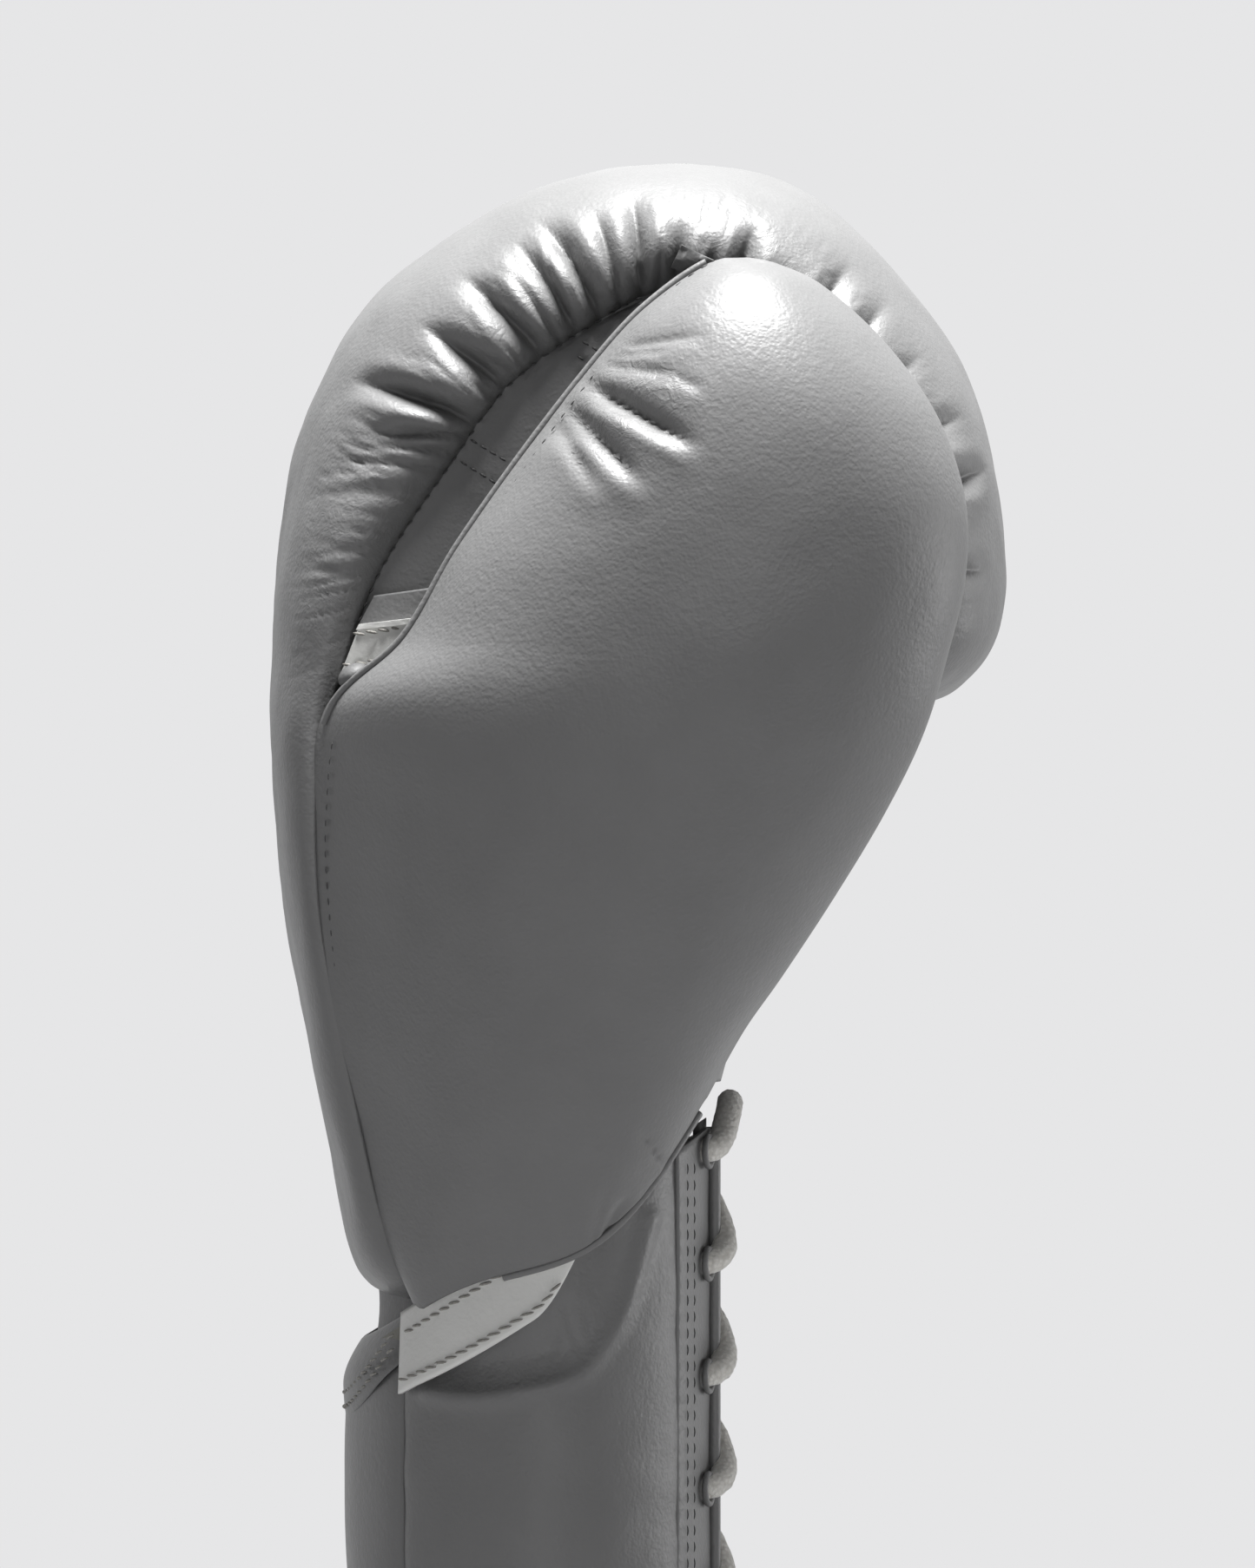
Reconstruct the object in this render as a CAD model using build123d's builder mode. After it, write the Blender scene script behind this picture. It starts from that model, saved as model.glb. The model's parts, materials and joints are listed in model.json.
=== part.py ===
"""Lace-up boxing glove, standing on its cuff.

Frame: millimetres, +Z from the cuff's mouth to the top of the fist, +X towards the palm and its laces,
-Y towards the thumb. The origin is the centre of the cuff's mouth, on the plane that the hem stands on.

Three bodies: the cuff, the mitt (fist, back of the hand, palm and base of the thumb) and the thumb.
"""
from build123d import *
from math import atan2, cos, degrees, radians, sin, sqrt, tan
import os

os.makedirs("parts", exist_ok=True)

# ---------------------------------------------------------------- driving sizes
total_height = 336.5        # hem to the top of the fist
leather = 1.4               # outer leather
lining = 0.8                # lining cloth
seat = 0.3                  # play between two layers that lie against each other
far = 200.0                 # reach of the cutting forms

# fist: a thick pad curled about an axis that runs along Y
fist_radius = 75.5          # curl axis to the outside of the leather
fist_half_width = 60.0      # middle of the mitt to its side, across the knuckles
mitt_y = 3.0                # the mitt lies a little to the little-finger side
fist_x = 22.0               # curl axis, forward of the cuff's centre
curl_angle = 207.0          # from the back of the hand over the knuckles to the fingertips
pad_layers = {"outer": 13.0, "middle": 11.0, "inner": 8.5}    # foam, from the outside in
fist_corner = 26.0          # rounding of the pad's edge
finger_room = 26.0          # space for the curled fingers
fingertip_room = 14.0       # degrees of the curl that the fingers don't fill

# back of the hand: shares of the way from the neck to the curl axis, in height and in depth
back_profile = [(0.0, 0.0), (0.11, 0.31), (0.27, 0.56), (0.52, 0.89), (1.0, 1.0)]
wrist_back_x = -31.0
wrist_half_width = 44.0
wrist_pad_depth = 13.0
wrist_corner = 8.0
side_foam = 4.0             # foam inside the flat sides of the mitt

# palm side of the mitt
palm_x = 37.0               # palm leather at the wrist
palm_swell = 12.0           # how far the heel of the fist stands in front of that
palm_foam = 7.0

# neck: the cuff and the mitt meet at a plane that rises towards the palm
neck_z = 121.0              # height of the wrist's hinge line
neck_slope = 34.0           # degrees
neck_play = 12.0            # along the plane's normal, room for the wrist to bend

# cuff: an oval tube, padded, slit down the palm side
cuff_depth = 74.0           # along X
cuff_width = 100.0          # along Y
cuff_foam = 5.0
slit_width = 14.0
bead_radius = 1.4           # rolled edge of the slit
facing_width = 20.0         # leather strip that carries the lace holes, beside each edge of the slit
back_seam_angle = 126.0     # from +X to the seams beside the back panel
hem_height = 10.0
hem_thickness = 1.3
yoke_z = 76.0
trim_width = 14.0
trim_end_angle = 77.0       # from +X to the end of the wrist trim
overlay = 1.0               # thin leather laid on a panel

# lace
lace_radius = 2.6
lace_rows = 6
lace_pitch = 23.3
first_row_z = 15.1
hole_from_bead = 7.2
hole_play = 0.8
lace_play = 0.6             # between the lace and the leather that it lies on
strand_shares = {-1: 0.36, 1: 0.66}     # where each strand passes the slit, as a share of the pitch
knot_radius = 7.0
aglet_length = 14.0
aglet_radius = 1.7

# the lace's two free ends, from the knot to the floor
tails = {
    "thumb_side": [(49, -4, 8.5), (58, -11, 5.0), (67, -21, 2.9), (74, -34, 2.9), (74, -49, 2.9),
                   (66, -62, 2.9), (54, -71, 2.9)],
    "pinky_side": [(49, 4, 8.5), (60, 8, 5.0), (72, 14, 2.9), (81, 25, 2.9), (83, 39, 2.9),
                   (77, 52, 2.9)],
}

# thumb, as level ovals: height, left, right, side towards the fist, front
thumb_ovals = [
    (100, -27, 6, -44, -48),
    (120, -31, 20, -45, -54),
    (140, -36, 35, -46, -64),
    (160, -40, 47, -48, -73),
    (180, -43, 60, -50, -82),
    (200, -44, 72, -53, -91),
    (219, -41, 80, -62, -97),
    (240, -28, 88, -62, -100),
    (260, -14, 91, -62, -100),
    (280, 1, 85, -62, -98),
    (298, 15, 73, -62, -92),
    (310, 28, 60, -62, -80),
    (316, 37, 47, -62, -67),
]
thumb_gap = 5.0             # between the fist's side and the thumb
thumb_hinge_y = -78.5
thumb_hinge_z = 216.5
thumb_play = 5.0            # between the pads on the two sides of the thumb's hinge
thumb_room = 12.0           # radius of the thumb's pocket
pocket_x = 20.0             # middle of the pocket's mouth
pocket_length = 72.0
thumb_lean = 18.5           # degrees, towards the palm
throat_start = (4.0, -45.0, 168.0)
overshoot = 12.0            # how far the round bores run past the ends that trim them

# small pieces in the slot between thumb and fist
strap_width = 28.0
strap_height = 14.0
strap_corner = (-32.0, 222.0)
web_radius = 3.2
web_place = (-42.0, 231.0)
tab_width = 6.0
tab_height = 9.0
tab_corner = (31.5, 307.0)

# ---------------------------------------------------------------- sizes that follow
layer = leather + seat
fist_z = total_height - fist_radius
cuff_a, cuff_b = cuff_depth / 2, cuff_width / 2
pad_depth = layer + sum(pad_layers.values()) + seat * (len(pad_layers) - 1)
pocket_outer = fist_radius - pad_depth              # radius where the pads end and the pocket begins
pocket_inner = pocket_outer - finger_room
fist_axis = Axis((fist_x, 0, fist_z), (0, 1, 0))
end_angle = 180 - curl_angle
slope_rise = tan(radians(neck_slope))
neck_normal = Vector(-sin(radians(neck_slope)), 0, cos(radians(neck_slope)))
back_low_z = neck_z - cuff_a * slope_rise - 1
palm_back_x = palm_x - layer - palm_foam - seat     # where the room for the hand ends
lining_depth = layer + cuff_foam + seat             # from the cuff's outside to its lining
cuff_floor = hem_thickness + seat                   # where the cuff's layers begin, inside the hem
cuff_top = neck_z + cuff_a * slope_rise             # higher than any point of the cuff
bead_y = slit_width / 2 + bead_radius
facing_y = slit_width / 2 + 2 * bead_radius + seat  # edge of the facing, behind the rolled edge
hole_y = facing_y + hole_from_bead
row_heights = [first_row_z + lace_pitch * row for row in range(lace_rows)]
fist_side_y = mitt_y - fist_half_width
thumb_side_y = fist_side_y - thumb_gap
thumb_foot_z = thumb_hinge_z + thumb_play / 2
thumb_base_top = thumb_hinge_z - thumb_play / 2
seam_angle = degrees(seat / cuff_a) / 2             # half the play in a seam of the cuff, as an angle


def cuff_x(y):
    """X of the cuff's palm side at the width y."""
    return cuff_a * sqrt(1 - (y / cuff_b) ** 2)


facing_edge_y = facing_y + facing_width
facing_angle = degrees(atan2(facing_edge_y, cuff_x(facing_edge_y)))


# ---------------------------------------------------------------- planes and cuts
def neck_plane(shift):
    """The plane between cuff and mitt, moved along its normal."""
    return Plane(origin=Vector(0, 0, neck_z) + neck_normal * shift, x_dir=(0, 1, 0), z_dir=neck_normal)


def radial_plane(angle):
    """A plane through the curl axis. Its x is the radius and its y runs across the fist."""
    a = radians(angle)
    return Plane(origin=(fist_x, 0, fist_z), x_dir=(cos(a), 0, sin(a)), z_dir=(-sin(a), 0, cos(a)))


def above_neck():
    split(bisect_by=neck_plane(neck_play / 2), keep=Keep.TOP)


def below_neck():
    split(bisect_by=neck_plane(-neck_play / 2), keep=Keep.BOTTOM)


def save(piece, name):
    """Label a finished piece and write it."""
    piece.part.label = name
    export_step(piece.part, f"parts/{name}.step")


# ---------------------------------------------------------------- forms of the mitt
def fist_section(inset, floor):
    """Section of the fist pad on a radial plane, set in by inset, from its outside down to the radius floor."""
    depth = fist_radius - inset - floor
    with BuildSketch() as section:
        with Locations((floor + depth / 2, mitt_y)):
            Rectangle(depth, 2 * (fist_half_width - inset))
        fillet(section.vertices().group_by(Axis.X)[-1], fist_corner - inset)
    return section.sketch


def side_y(z):
    """Middle of the mitt to its flat side at the height z."""
    share = min(1.0, (z - back_low_z) / (fist_z - back_low_z))
    return wrist_half_width + (fist_half_width - wrist_half_width) * share


def back_station(share_z, share_x):
    """Height, outside and depth of the back of the hand at one point of its profile."""
    z = back_low_z + (fist_z - back_low_z) * share_z
    x = wrist_back_x + (fist_x - fist_radius - wrist_back_x) * share_x
    return z, x, wrist_pad_depth + (pad_depth - wrist_pad_depth) * share_z


def back_form(inset, extra=0.0):
    """Padded back of the hand, set in by inset, its depth carried on towards the palm by extra."""
    with BuildPart() as form:
        for share_z, share_x in back_profile:
            z, x, depth = back_station(share_z, share_x)
            corner = wrist_corner + (fist_corner - wrist_corner) * share_z - inset
            with BuildSketch(Plane.XY.offset(z)) as section:
                with Locations((x + (depth + extra + inset) / 2, mitt_y)):
                    Rectangle(depth + extra - inset, 2 * (side_y(z) - inset))
                fillet(section.vertices().group_by(Axis.X)[0], corner)
        loft()
    return form.part


def core_form(inset):
    """Everything between the flat sides of the mitt, set in by inset."""
    heights = (back_low_z - far / 2, fist_z, total_height + far / 2)
    left = [(mitt_y - side_y(z) + inset, z) for z in heights]
    right = [(mitt_y + side_y(z) - inset, z) for z in reversed(heights)]
    with BuildPart() as form:
        with BuildSketch(Plane.YZ.offset(-far)):
            with BuildLine():
                Polyline(*left, *right, close=True)
            make_face()
        extrude(amount=2 * far)
    return form.part


def palm_strip(depth, thickness):
    """Side view of one layer of the palm, depth below its outside. The neck and the fist trim its ends."""
    low = (palm_x - depth, neck_z)
    middle = (palm_x + 0.62 * palm_swell - depth, (neck_z + fist_z) / 2)
    high = (palm_x + palm_swell - depth, fist_z)
    with BuildSketch() as strip:
        with BuildLine():
            front = ThreePointArc(low, middle, high)
            rear = ThreePointArc(*[(x - thickness, z) for x, z in (low, middle, high)])
            Line(front @ 0, rear @ 0)
            Line(front @ 1, rear @ 1)
        make_face()
    return strip.sketch


def side_outline(front_x, top_z):
    """Side view of the flat side, from the pad on the back of the hand to front_x."""
    stations = [back_station(*shares) for shares in back_profile]
    back_edge = [(x + depth - wrist_corner / 2, min(z, top_z)) for z, x, depth in stations]
    with BuildSketch() as outline:
        with BuildLine():
            Polyline(*back_edge, (front_x, top_z), (front_x, neck_z), close=True)
        make_face()
    return outline.sketch


def hand_form(inset):
    """The room for the hand: curled fingers above, palm and wrist below, set in by inset."""
    outer, inner = pocket_outer - seat - inset, pocket_inner + inset
    margin = layer + side_foam + seat + inset
    middle_z, middle_back, middle_depth = back_station(*back_profile[3])
    wrist_back = wrist_back_x + wrist_pad_depth + seat + inset
    sections = [
        (fist_z, fist_x - outer, fist_x - inner),
        (fist_z - pocket_inner, fist_x - outer, fist_x - inner),
        (fist_z - 1.5 * pocket_inner, fist_x - outer, palm_back_x - inset - 2),
        (middle_z, middle_back + middle_depth + inset + 2, palm_back_x - inset),
        (neck_z, wrist_back + 10, palm_back_x - inset),
        (back_low_z - 10, wrist_back, palm_back_x - inset),
    ]
    with BuildPart() as form:
        with BuildSketch(radial_plane(180)):
            with Locations(((outer + inner) / 2, mitt_y)):
                Rectangle(outer - inner, 2 * (side_y(fist_z) - margin))
        revolve(axis=fist_axis, revolution_arc=curl_angle - fingertip_room - inset)
        for z, x_back, x_front in sections:
            with BuildSketch(Plane.XY.offset(z)):
                with Locations(((x_back + x_front) / 2, mitt_y)):
                    Rectangle(x_front - x_back, 2 * (side_y(z) - margin))
        loft(ruled=True)
    return form.part


# ---------------------------------------------------------------- forms of the thumb
def thumb_form(inset, ovals, back_y):
    """The thumb along some of its ovals, set in by inset and cut flat at back_y, towards the fist."""
    tip_z = thumb_ovals[-1][0]
    with BuildPart() as form:
        for z, left, right, side, front in ovals:
            drop = inset * max(0, z - thumb_foot_z) / (tip_z - thumb_foot_z)
            with BuildSketch(Plane.XY.offset(z - drop)):
                with Locations(((left + right) / 2, side)):
                    Ellipse((right - left) / 2 - inset, side - front - inset)
                with Locations((0, back_y)):
                    Rectangle(2 * far, 2 * far, align=(Align.CENTER, Align.MAX), mode=Mode.INTERSECT)
        loft(ruled=True)
    return form.part


def bore(plane, radius, low, high):
    """A round bar along a plane's normal."""
    with BuildPart() as bar:
        with BuildSketch(plane.offset(low)):
            Circle(radius)
        extrude(amount=high - low)
    return bar.part


back_outside = back_form(0)
back_hollow = back_form(leather, extra=far / 4)
back_keepout = back_form(0, extra=seat)
core_outside = core_form(0)
core_inside = core_form(leather)
core_room = core_form(layer)
core_soft = core_form(layer + side_foam)
mitt_keepout = core_form(-seat)
thumb_outside = thumb_form(0, thumb_ovals, far)
thumb_inside = thumb_form(leather, thumb_ovals, far)
thumb_filling = thumb_form(layer + seat, thumb_ovals, far)

lean = radians(thumb_lean)
pocket_foot = Vector(pocket_x, thumb_hinge_y, thumb_foot_z)
pocket_plane = Plane(origin=pocket_foot, z_dir=(sin(lean), 0, cos(lean)))
throat_way = Vector(pocket_x, thumb_hinge_y, thumb_hinge_z) - Vector(*throat_start)
throat_plane = Plane(origin=throat_start, z_dir=throat_way)
throat_length = throat_way.length
throat_bore = bore(throat_plane, thumb_room + lining + seat, -overshoot, throat_length + overshoot)

# ---------------------------------------------------------------- mitt: leather of the fist and back
with BuildPart() as knuckle_shell:
    add(back_outside)
    add(back_hollow, mode=Mode.SUBTRACT)
    above_neck()
    with BuildSketch(radial_plane(180)):
        add(fist_section(0, pocket_outer))
        add(fist_section(leather, pocket_outer - leather), mode=Mode.SUBTRACT)
    revolve(axis=fist_axis, revolution_arc=curl_angle)
    with BuildSketch(radial_plane(end_angle)):
        add(fist_section(0, pocket_outer))
    extrude(amount=-leather)
save(knuckle_shell, "knuckle_shell")

# ---------------------------------------------------------------- mitt: foam of the fist and back
layer_radius = fist_radius - layer
for layer_name, thickness in pad_layers.items():
    with BuildPart() as knuckle_pad:
        with BuildSketch(radial_plane(180)):
            add(fist_section(layer, pocket_outer))
            with Locations((layer_radius - thickness / 2, mitt_y)):
                Rectangle(thickness, 2 * fist_half_width, mode=Mode.INTERSECT)
        revolve(axis=fist_axis, revolution_arc=curl_angle - degrees(seat / pocket_outer))
    save(knuckle_pad, f"knuckle_pad_{layer_name}")
    layer_radius -= thickness + seat

with BuildPart() as back_of_hand_pad:
    add(back_form(layer))
    split(bisect_by=Plane.XY.offset(fist_z - seat), keep=Keep.BOTTOM)
    above_neck()
save(back_of_hand_pad, "back_of_hand_pad")

# ---------------------------------------------------------------- mitt: lining and grip
with BuildPart() as whole_lining:
    add(hand_form(0))
    add(hand_form(lining), mode=Mode.SUBTRACT)
    add(bore(throat_plane, thumb_room, -overshoot, throat_length), mode=Mode.SUBTRACT)
    above_neck()

# the lining is sewn from two pieces, which meet above the grip
with BuildPart() as finger_side:
    with Locations((fist_x, 0, fist_z - pocket_inner)):
        Box(far, 2 * far, far, align=(Align.MIN, Align.CENTER, Align.MIN))

for name, way in {"hand_lining": Mode.SUBTRACT, "finger_lining": Mode.INTERSECT}.items():
    with BuildPart() as lining_piece:
        add(whole_lining.part)
        add(finger_side.part, mode=way)
    save(lining_piece, name)

with BuildPart() as grip_bar:
    with BuildSketch(Plane.XZ.offset(-mitt_y)):
        with Locations((fist_x, fist_z)):
            Circle(pocket_inner - seat)
    extrude(amount=side_y(fist_z - pocket_inner) - layer - side_foam - 2 * seat, both=True)
save(grip_bar, "grip_bar")

# ---------------------------------------------------------------- mitt: palm
with BuildPart() as finger_panel:
    with BuildSketch(radial_plane(end_angle)):
        with Locations(((pocket_inner + pocket_outer - seat) / 2, mitt_y)):
            Rectangle(finger_room - seat, 2 * fist_half_width)
    extrude(amount=-leather)
    add(core_room, mode=Mode.INTERSECT)
save(finger_panel, "finger_panel")

palm_layers = {
    "palm_panel": (0, leather, core_room),
    "palm_pad": (layer, palm_foam, core_soft),
}
for name, (depth, thickness, width_form) in palm_layers.items():
    with BuildPart() as palm_layer:
        with BuildSketch(Plane.XZ):
            add(palm_strip(depth, thickness))
        extrude(amount=far, both=True)
        add(width_form, mode=Mode.INTERSECT)
        split(bisect_by=radial_plane(end_angle).offset(-layer), keep=Keep.BOTTOM)
        above_neck()
    save(palm_layer, name)

# ---------------------------------------------------------------- mitt: flat sides
for name, keep in {"thumb_side": Keep.TOP, "pinky_side": Keep.BOTTOM}.items():
    with BuildPart() as side_panel:
        with BuildSketch(Plane.XZ):
            add(side_outline(palm_x, fist_z))
            with Locations((fist_x, fist_z)):
                Circle(pocket_outer - seat)
            add(palm_strip(0, palm_foam))
        extrude(amount=far, both=True)
        add(core_outside, mode=Mode.INTERSECT)
        add(core_inside, mode=Mode.SUBTRACT)
        add(back_keepout, mode=Mode.SUBTRACT)
        add(throat_bore, mode=Mode.SUBTRACT)
        split(bisect_by=Plane.XZ.offset(-mitt_y), keep=keep)
        above_neck()
    save(side_panel, f"{name}_panel")
    with BuildPart() as side_pad:
        with BuildSketch(Plane.XZ):
            add(side_outline(palm_back_x, fist_z - seat))
        extrude(amount=far, both=True)
        add(core_room, mode=Mode.INTERSECT)
        add(core_soft, mode=Mode.SUBTRACT)
        add(back_keepout, mode=Mode.SUBTRACT)
        add(throat_bore, mode=Mode.SUBTRACT)
        split(bisect_by=Plane.XZ.offset(-mitt_y), keep=keep)
        above_neck()
    save(side_pad, f"{name}_pad")

# ---------------------------------------------------------------- mitt: base of the thumb
with BuildPart() as thumb_base_pad:
    add(thumb_filling)
    split(bisect_by=Plane.XY.offset(thumb_base_top), keep=Keep.BOTTOM)
    add(mitt_keepout, mode=Mode.SUBTRACT)
    add(throat_bore, mode=Mode.SUBTRACT)
    above_neck()
save(thumb_base_pad, "thumb_base_pad")

with BuildPart() as thumb_throat_lining:
    add(bore(throat_plane, thumb_room + lining, -overshoot, throat_length + overshoot))
    add(bore(throat_plane, thumb_room, -2 * overshoot, throat_length + 2 * overshoot), mode=Mode.SUBTRACT)
    add(core_soft, mode=Mode.SUBTRACT)
    split(bisect_by=Plane.XY.offset(thumb_base_top), keep=Keep.BOTTOM)
save(thumb_throat_lining, "thumb_throat_lining")

with BuildPart() as thumb_web:
    with Locations((web_place[0], fist_side_y - seat - web_radius, web_place[1])):
        Sphere(web_radius)
save(thumb_web, "thumb_web")

# ---------------------------------------------------------------- thumb
with BuildPart() as thumb_outer_panel:
    add(thumb_outside)
    add(thumb_inside, mode=Mode.SUBTRACT)
    add(mitt_keepout, mode=Mode.SUBTRACT)
    with Locations((0, thumb_side_y, thumb_hinge_z)):
        Box(2 * far, 2 * far, 2 * far, align=(Align.CENTER, Align.MIN, Align.MIN), mode=Mode.SUBTRACT)
    above_neck()
save(thumb_outer_panel, "thumb_outer_panel")

free_ovals = [oval for oval in thumb_ovals if oval[0] >= thumb_foot_z]
with BuildPart() as thumb_inner_panel:
    with BuildSketch(Plane.XZ.offset(-thumb_side_y)):
        left_edge = [(left + 2 * layer, z) for z, left, right, side, front in free_ovals[:-2]]
        right_edge = [(right - 2 * layer, z) for z, left, right, side, front in free_ovals[:-2]]
        with BuildLine():
            Polyline(*left_edge, *reversed(right_edge), close=True)
        make_face()
    extrude(amount=leather)
save(thumb_inner_panel, "thumb_inner_panel")

with BuildPart() as thumb_pad:
    add(thumb_form(layer + seat, free_ovals, thumb_side_y - layer))
    pocket_end = pocket_length + lining + seat
    add(bore(pocket_plane, thumb_room + lining + seat, -overshoot, pocket_end), mode=Mode.SUBTRACT)
save(thumb_pad, "thumb_pad")

with BuildPart() as thumb_lining:
    add(bore(pocket_plane, thumb_room + lining, -overshoot, pocket_length + lining))
    add(bore(pocket_plane, thumb_room, -2 * overshoot, pocket_length), mode=Mode.SUBTRACT)
    split(bisect_by=Plane.XY.offset(thumb_foot_z), keep=Keep.TOP)
save(thumb_lining, "thumb_lining")

with BuildPart() as thumb_tip_tab:
    with Locations((tab_corner[0], thumb_side_y + seat, tab_corner[1])):
        Box(tab_width, leather, tab_height, align=(Align.MIN, Align.MIN, Align.MIN))
save(thumb_tip_tab, "thumb_tip_tab")

# a strap folded into the bottom of the slot, one leg on the fist and one on the thumb
with BuildPart() as thumb_lock_strap:
    with Locations((strap_corner[0], thumb_side_y + seat, strap_corner[1])):
        Box(strap_width, thumb_gap - 2 * seat, strap_height, align=(Align.MIN, Align.MIN, Align.MIN))
    with Locations((strap_corner[0], thumb_side_y + seat + leather, strap_corner[1] + leather)):
        Box(strap_width, thumb_gap - 2 * layer, strap_height, align=(Align.MIN, Align.MIN, Align.MIN),
            mode=Mode.SUBTRACT)
save(thumb_lock_strap, "thumb_lock_strap")


# ---------------------------------------------------------------- cuff: wall
def cuff_ring(outer, inner, start, stop):
    """Level section of the oval cuff between two depths below its outside, from one angle to another."""
    steps = 8
    angles = [radians(start + (stop - start) * step / steps) for step in range(steps + 1)]
    with BuildSketch() as ring:
        Ellipse(cuff_a - outer, cuff_b - outer)
        Ellipse(cuff_a - inner, cuff_b - inner, mode=Mode.SUBTRACT)
        with BuildLine():
            Polyline((0, 0), *[(far * cos(a), far * sin(a)) for a in angles], close=True)
        make_face(mode=Mode.INTERSECT)
    return ring.sketch


def slit_opening(half_width):
    """Level section of the space that stays open at the slit."""
    with BuildSketch() as opening:
        with Locations((cuff_a, 0)):
            Rectangle(cuff_a, 2 * half_width)
    return opening.sketch


back_wall = (back_seam_angle + seam_angle, 360 - back_seam_angle - seam_angle)
pinky_wall = (facing_angle + seam_angle, back_seam_angle - seam_angle)
thumb_wall = (360 - back_seam_angle + seam_angle, 360 - facing_angle - seam_angle)
whole_wall = (facing_angle + seam_angle, 360 - facing_angle - seam_angle)
cuff_layers = {
    "cuff_back_panel": (0, leather, *back_wall),
    "cuff_thumb_side_panel": (0, leather, *thumb_wall),
    "cuff_pinky_side_panel": (0, leather, *pinky_wall),
    "cuff_back_pad": (layer, layer + cuff_foam, *back_wall),
    "cuff_thumb_side_pad": (layer, layer + cuff_foam, *thumb_wall),
    "cuff_pinky_side_pad": (layer, layer + cuff_foam, *pinky_wall),
    "cuff_lining": (lining_depth, lining_depth + lining, *whole_wall),
}
for name, ring in cuff_layers.items():
    with BuildPart() as cuff_layer:
        with BuildSketch(Plane.XY.offset(cuff_floor)):
            add(cuff_ring(*ring))
        extrude(amount=cuff_top)
        below_neck()
    save(cuff_layer, name)

# ---------------------------------------------------------------- cuff: slit
for name, side, keep in [("thumb_side", -1, Keep.TOP), ("pinky_side", 1, Keep.BOTTOM)]:
    with BuildPart() as lace_facing:
        with BuildSketch(Plane.XY.offset(cuff_floor)):
            add(cuff_ring(0, 2 * leather, -facing_angle + seam_angle, facing_angle - seam_angle))
            add(slit_opening(facing_y), mode=Mode.SUBTRACT)
        extrude(amount=cuff_top)
        below_neck()
        split(bisect_by=Plane.XZ, keep=keep)
        with BuildSketch(Plane.YZ):
            with Locations(*[(side * hole_y, z) for z in row_heights]):
                Circle(lace_radius + hole_play)
        extrude(amount=far, mode=Mode.SUBTRACT)
    save(lace_facing, f"{name}_lace_facing")
    with BuildPart() as slit_edge:
        with BuildSketch(Plane.XY.offset(cuff_floor)):
            with Locations((cuff_x(bead_y) - bead_radius, side * bead_y)):
                Circle(bead_radius)
        extrude(amount=cuff_top)
        below_neck()
    save(slit_edge, f"{name}_slit_edge")

# ---------------------------------------------------------------- cuff: hem, yoke and trim
hem_outside = -seat - hem_thickness
hem_inside = lining_depth + lining + seat + hem_thickness
hem_walls = {
    "outside": (hem_outside, -seat, hem_height),
    "inside": (hem_inside - hem_thickness, hem_inside, hem_height),
    "floor": (hem_outside, hem_inside, hem_thickness),
}
with BuildPart() as hem_binding:
    for outer, inner, height in hem_walls.values():
        with BuildSketch():
            add(cuff_ring(outer, inner, 1, 359))
            add(slit_opening(slit_width / 2), mode=Mode.SUBTRACT)
        extrude(amount=height)
save(hem_binding, "hem_binding")

with BuildPart() as back_yoke:
    with BuildSketch(Plane.XY.offset(yoke_z)):
        add(cuff_ring(-seat - overlay, -seat, *back_wall))
    extrude(amount=cuff_top)
    below_neck()
save(back_yoke, "back_yoke")

for name, mirrored in {"pinky_side": False, "thumb_side": True}.items():
    start, stop = trim_end_angle, back_seam_angle - seam_angle
    with BuildPart() as wrist_trim:
        with BuildSketch(Plane.XY.offset(cuff_floor)):
            if mirrored:
                add(cuff_ring(-seat - overlay, -seat, 360 - stop, 360 - start))
            else:
                add(cuff_ring(-seat - overlay, -seat, start, stop))
        extrude(amount=cuff_top)
        below_neck()
        split(bisect_by=neck_plane(-neck_play / 2 - trim_width), keep=Keep.TOP)
    save(wrist_trim, f"{name}_wrist_trim")

# ---------------------------------------------------------------- neck
neck_rings = {"neck_gusset": (seat, layer), "neck_lining": (lining_depth, lining_depth + lining)}
for name, (outer, inner) in neck_rings.items():
    with BuildPart() as neck_ring:
        with BuildSketch():
            add(cuff_ring(outer, inner, *whole_wall))
        extrude(amount=2 * far)
        split(bisect_by=neck_plane(neck_play / 2 - seat), keep=Keep.BOTTOM)
        split(bisect_by=neck_plane(-neck_play / 2 + seat), keep=Keep.TOP)
    save(neck_ring, name)


# ---------------------------------------------------------------- lace
def route_radii(points):
    """The largest arc at each corner that its two runs leave room for."""
    vectors = [Vector(*point) for point in points]
    radii = []
    for before, corner, after in zip(vectors, vectors[1:], vectors[2:]):
        run = min((corner - before).length, (after - corner).length)
        turn = (corner - before).get_angle(after - corner)
        radii.append(0.45 * run / tan(radians(turn) / 2))
    return radii


def cord(points, radius):
    """A round cord along straight runs joined by arcs. Returns it with its length and its tightest arc."""
    radii = route_radii(points)
    with BuildPart() as tube:
        with BuildLine() as route:
            FilletPolyline(*points, radius=radii)
        with BuildSketch(Plane(origin=route.line @ 0, z_dir=route.line % 0)):
            Circle(radius)
        sweep(path=route.line)
    return tube.part, sum(edge.length for edge in route.edges()), min(radii)


outside_x = cuff_x(hole_y) + lace_radius + lace_play
edge_x = cuff_x(bead_y) + lace_radius + bead_radius + lace_play
inside_x = cuff_x(bead_y) - 2 * bead_radius - lace_radius - 4
middle_x = cuff_a - lace_play
exit_y = lace_radius + lace_play
knot_center = (cuff_a + 2 * lace_radius + knot_radius - 1, 0, hem_height)


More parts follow.
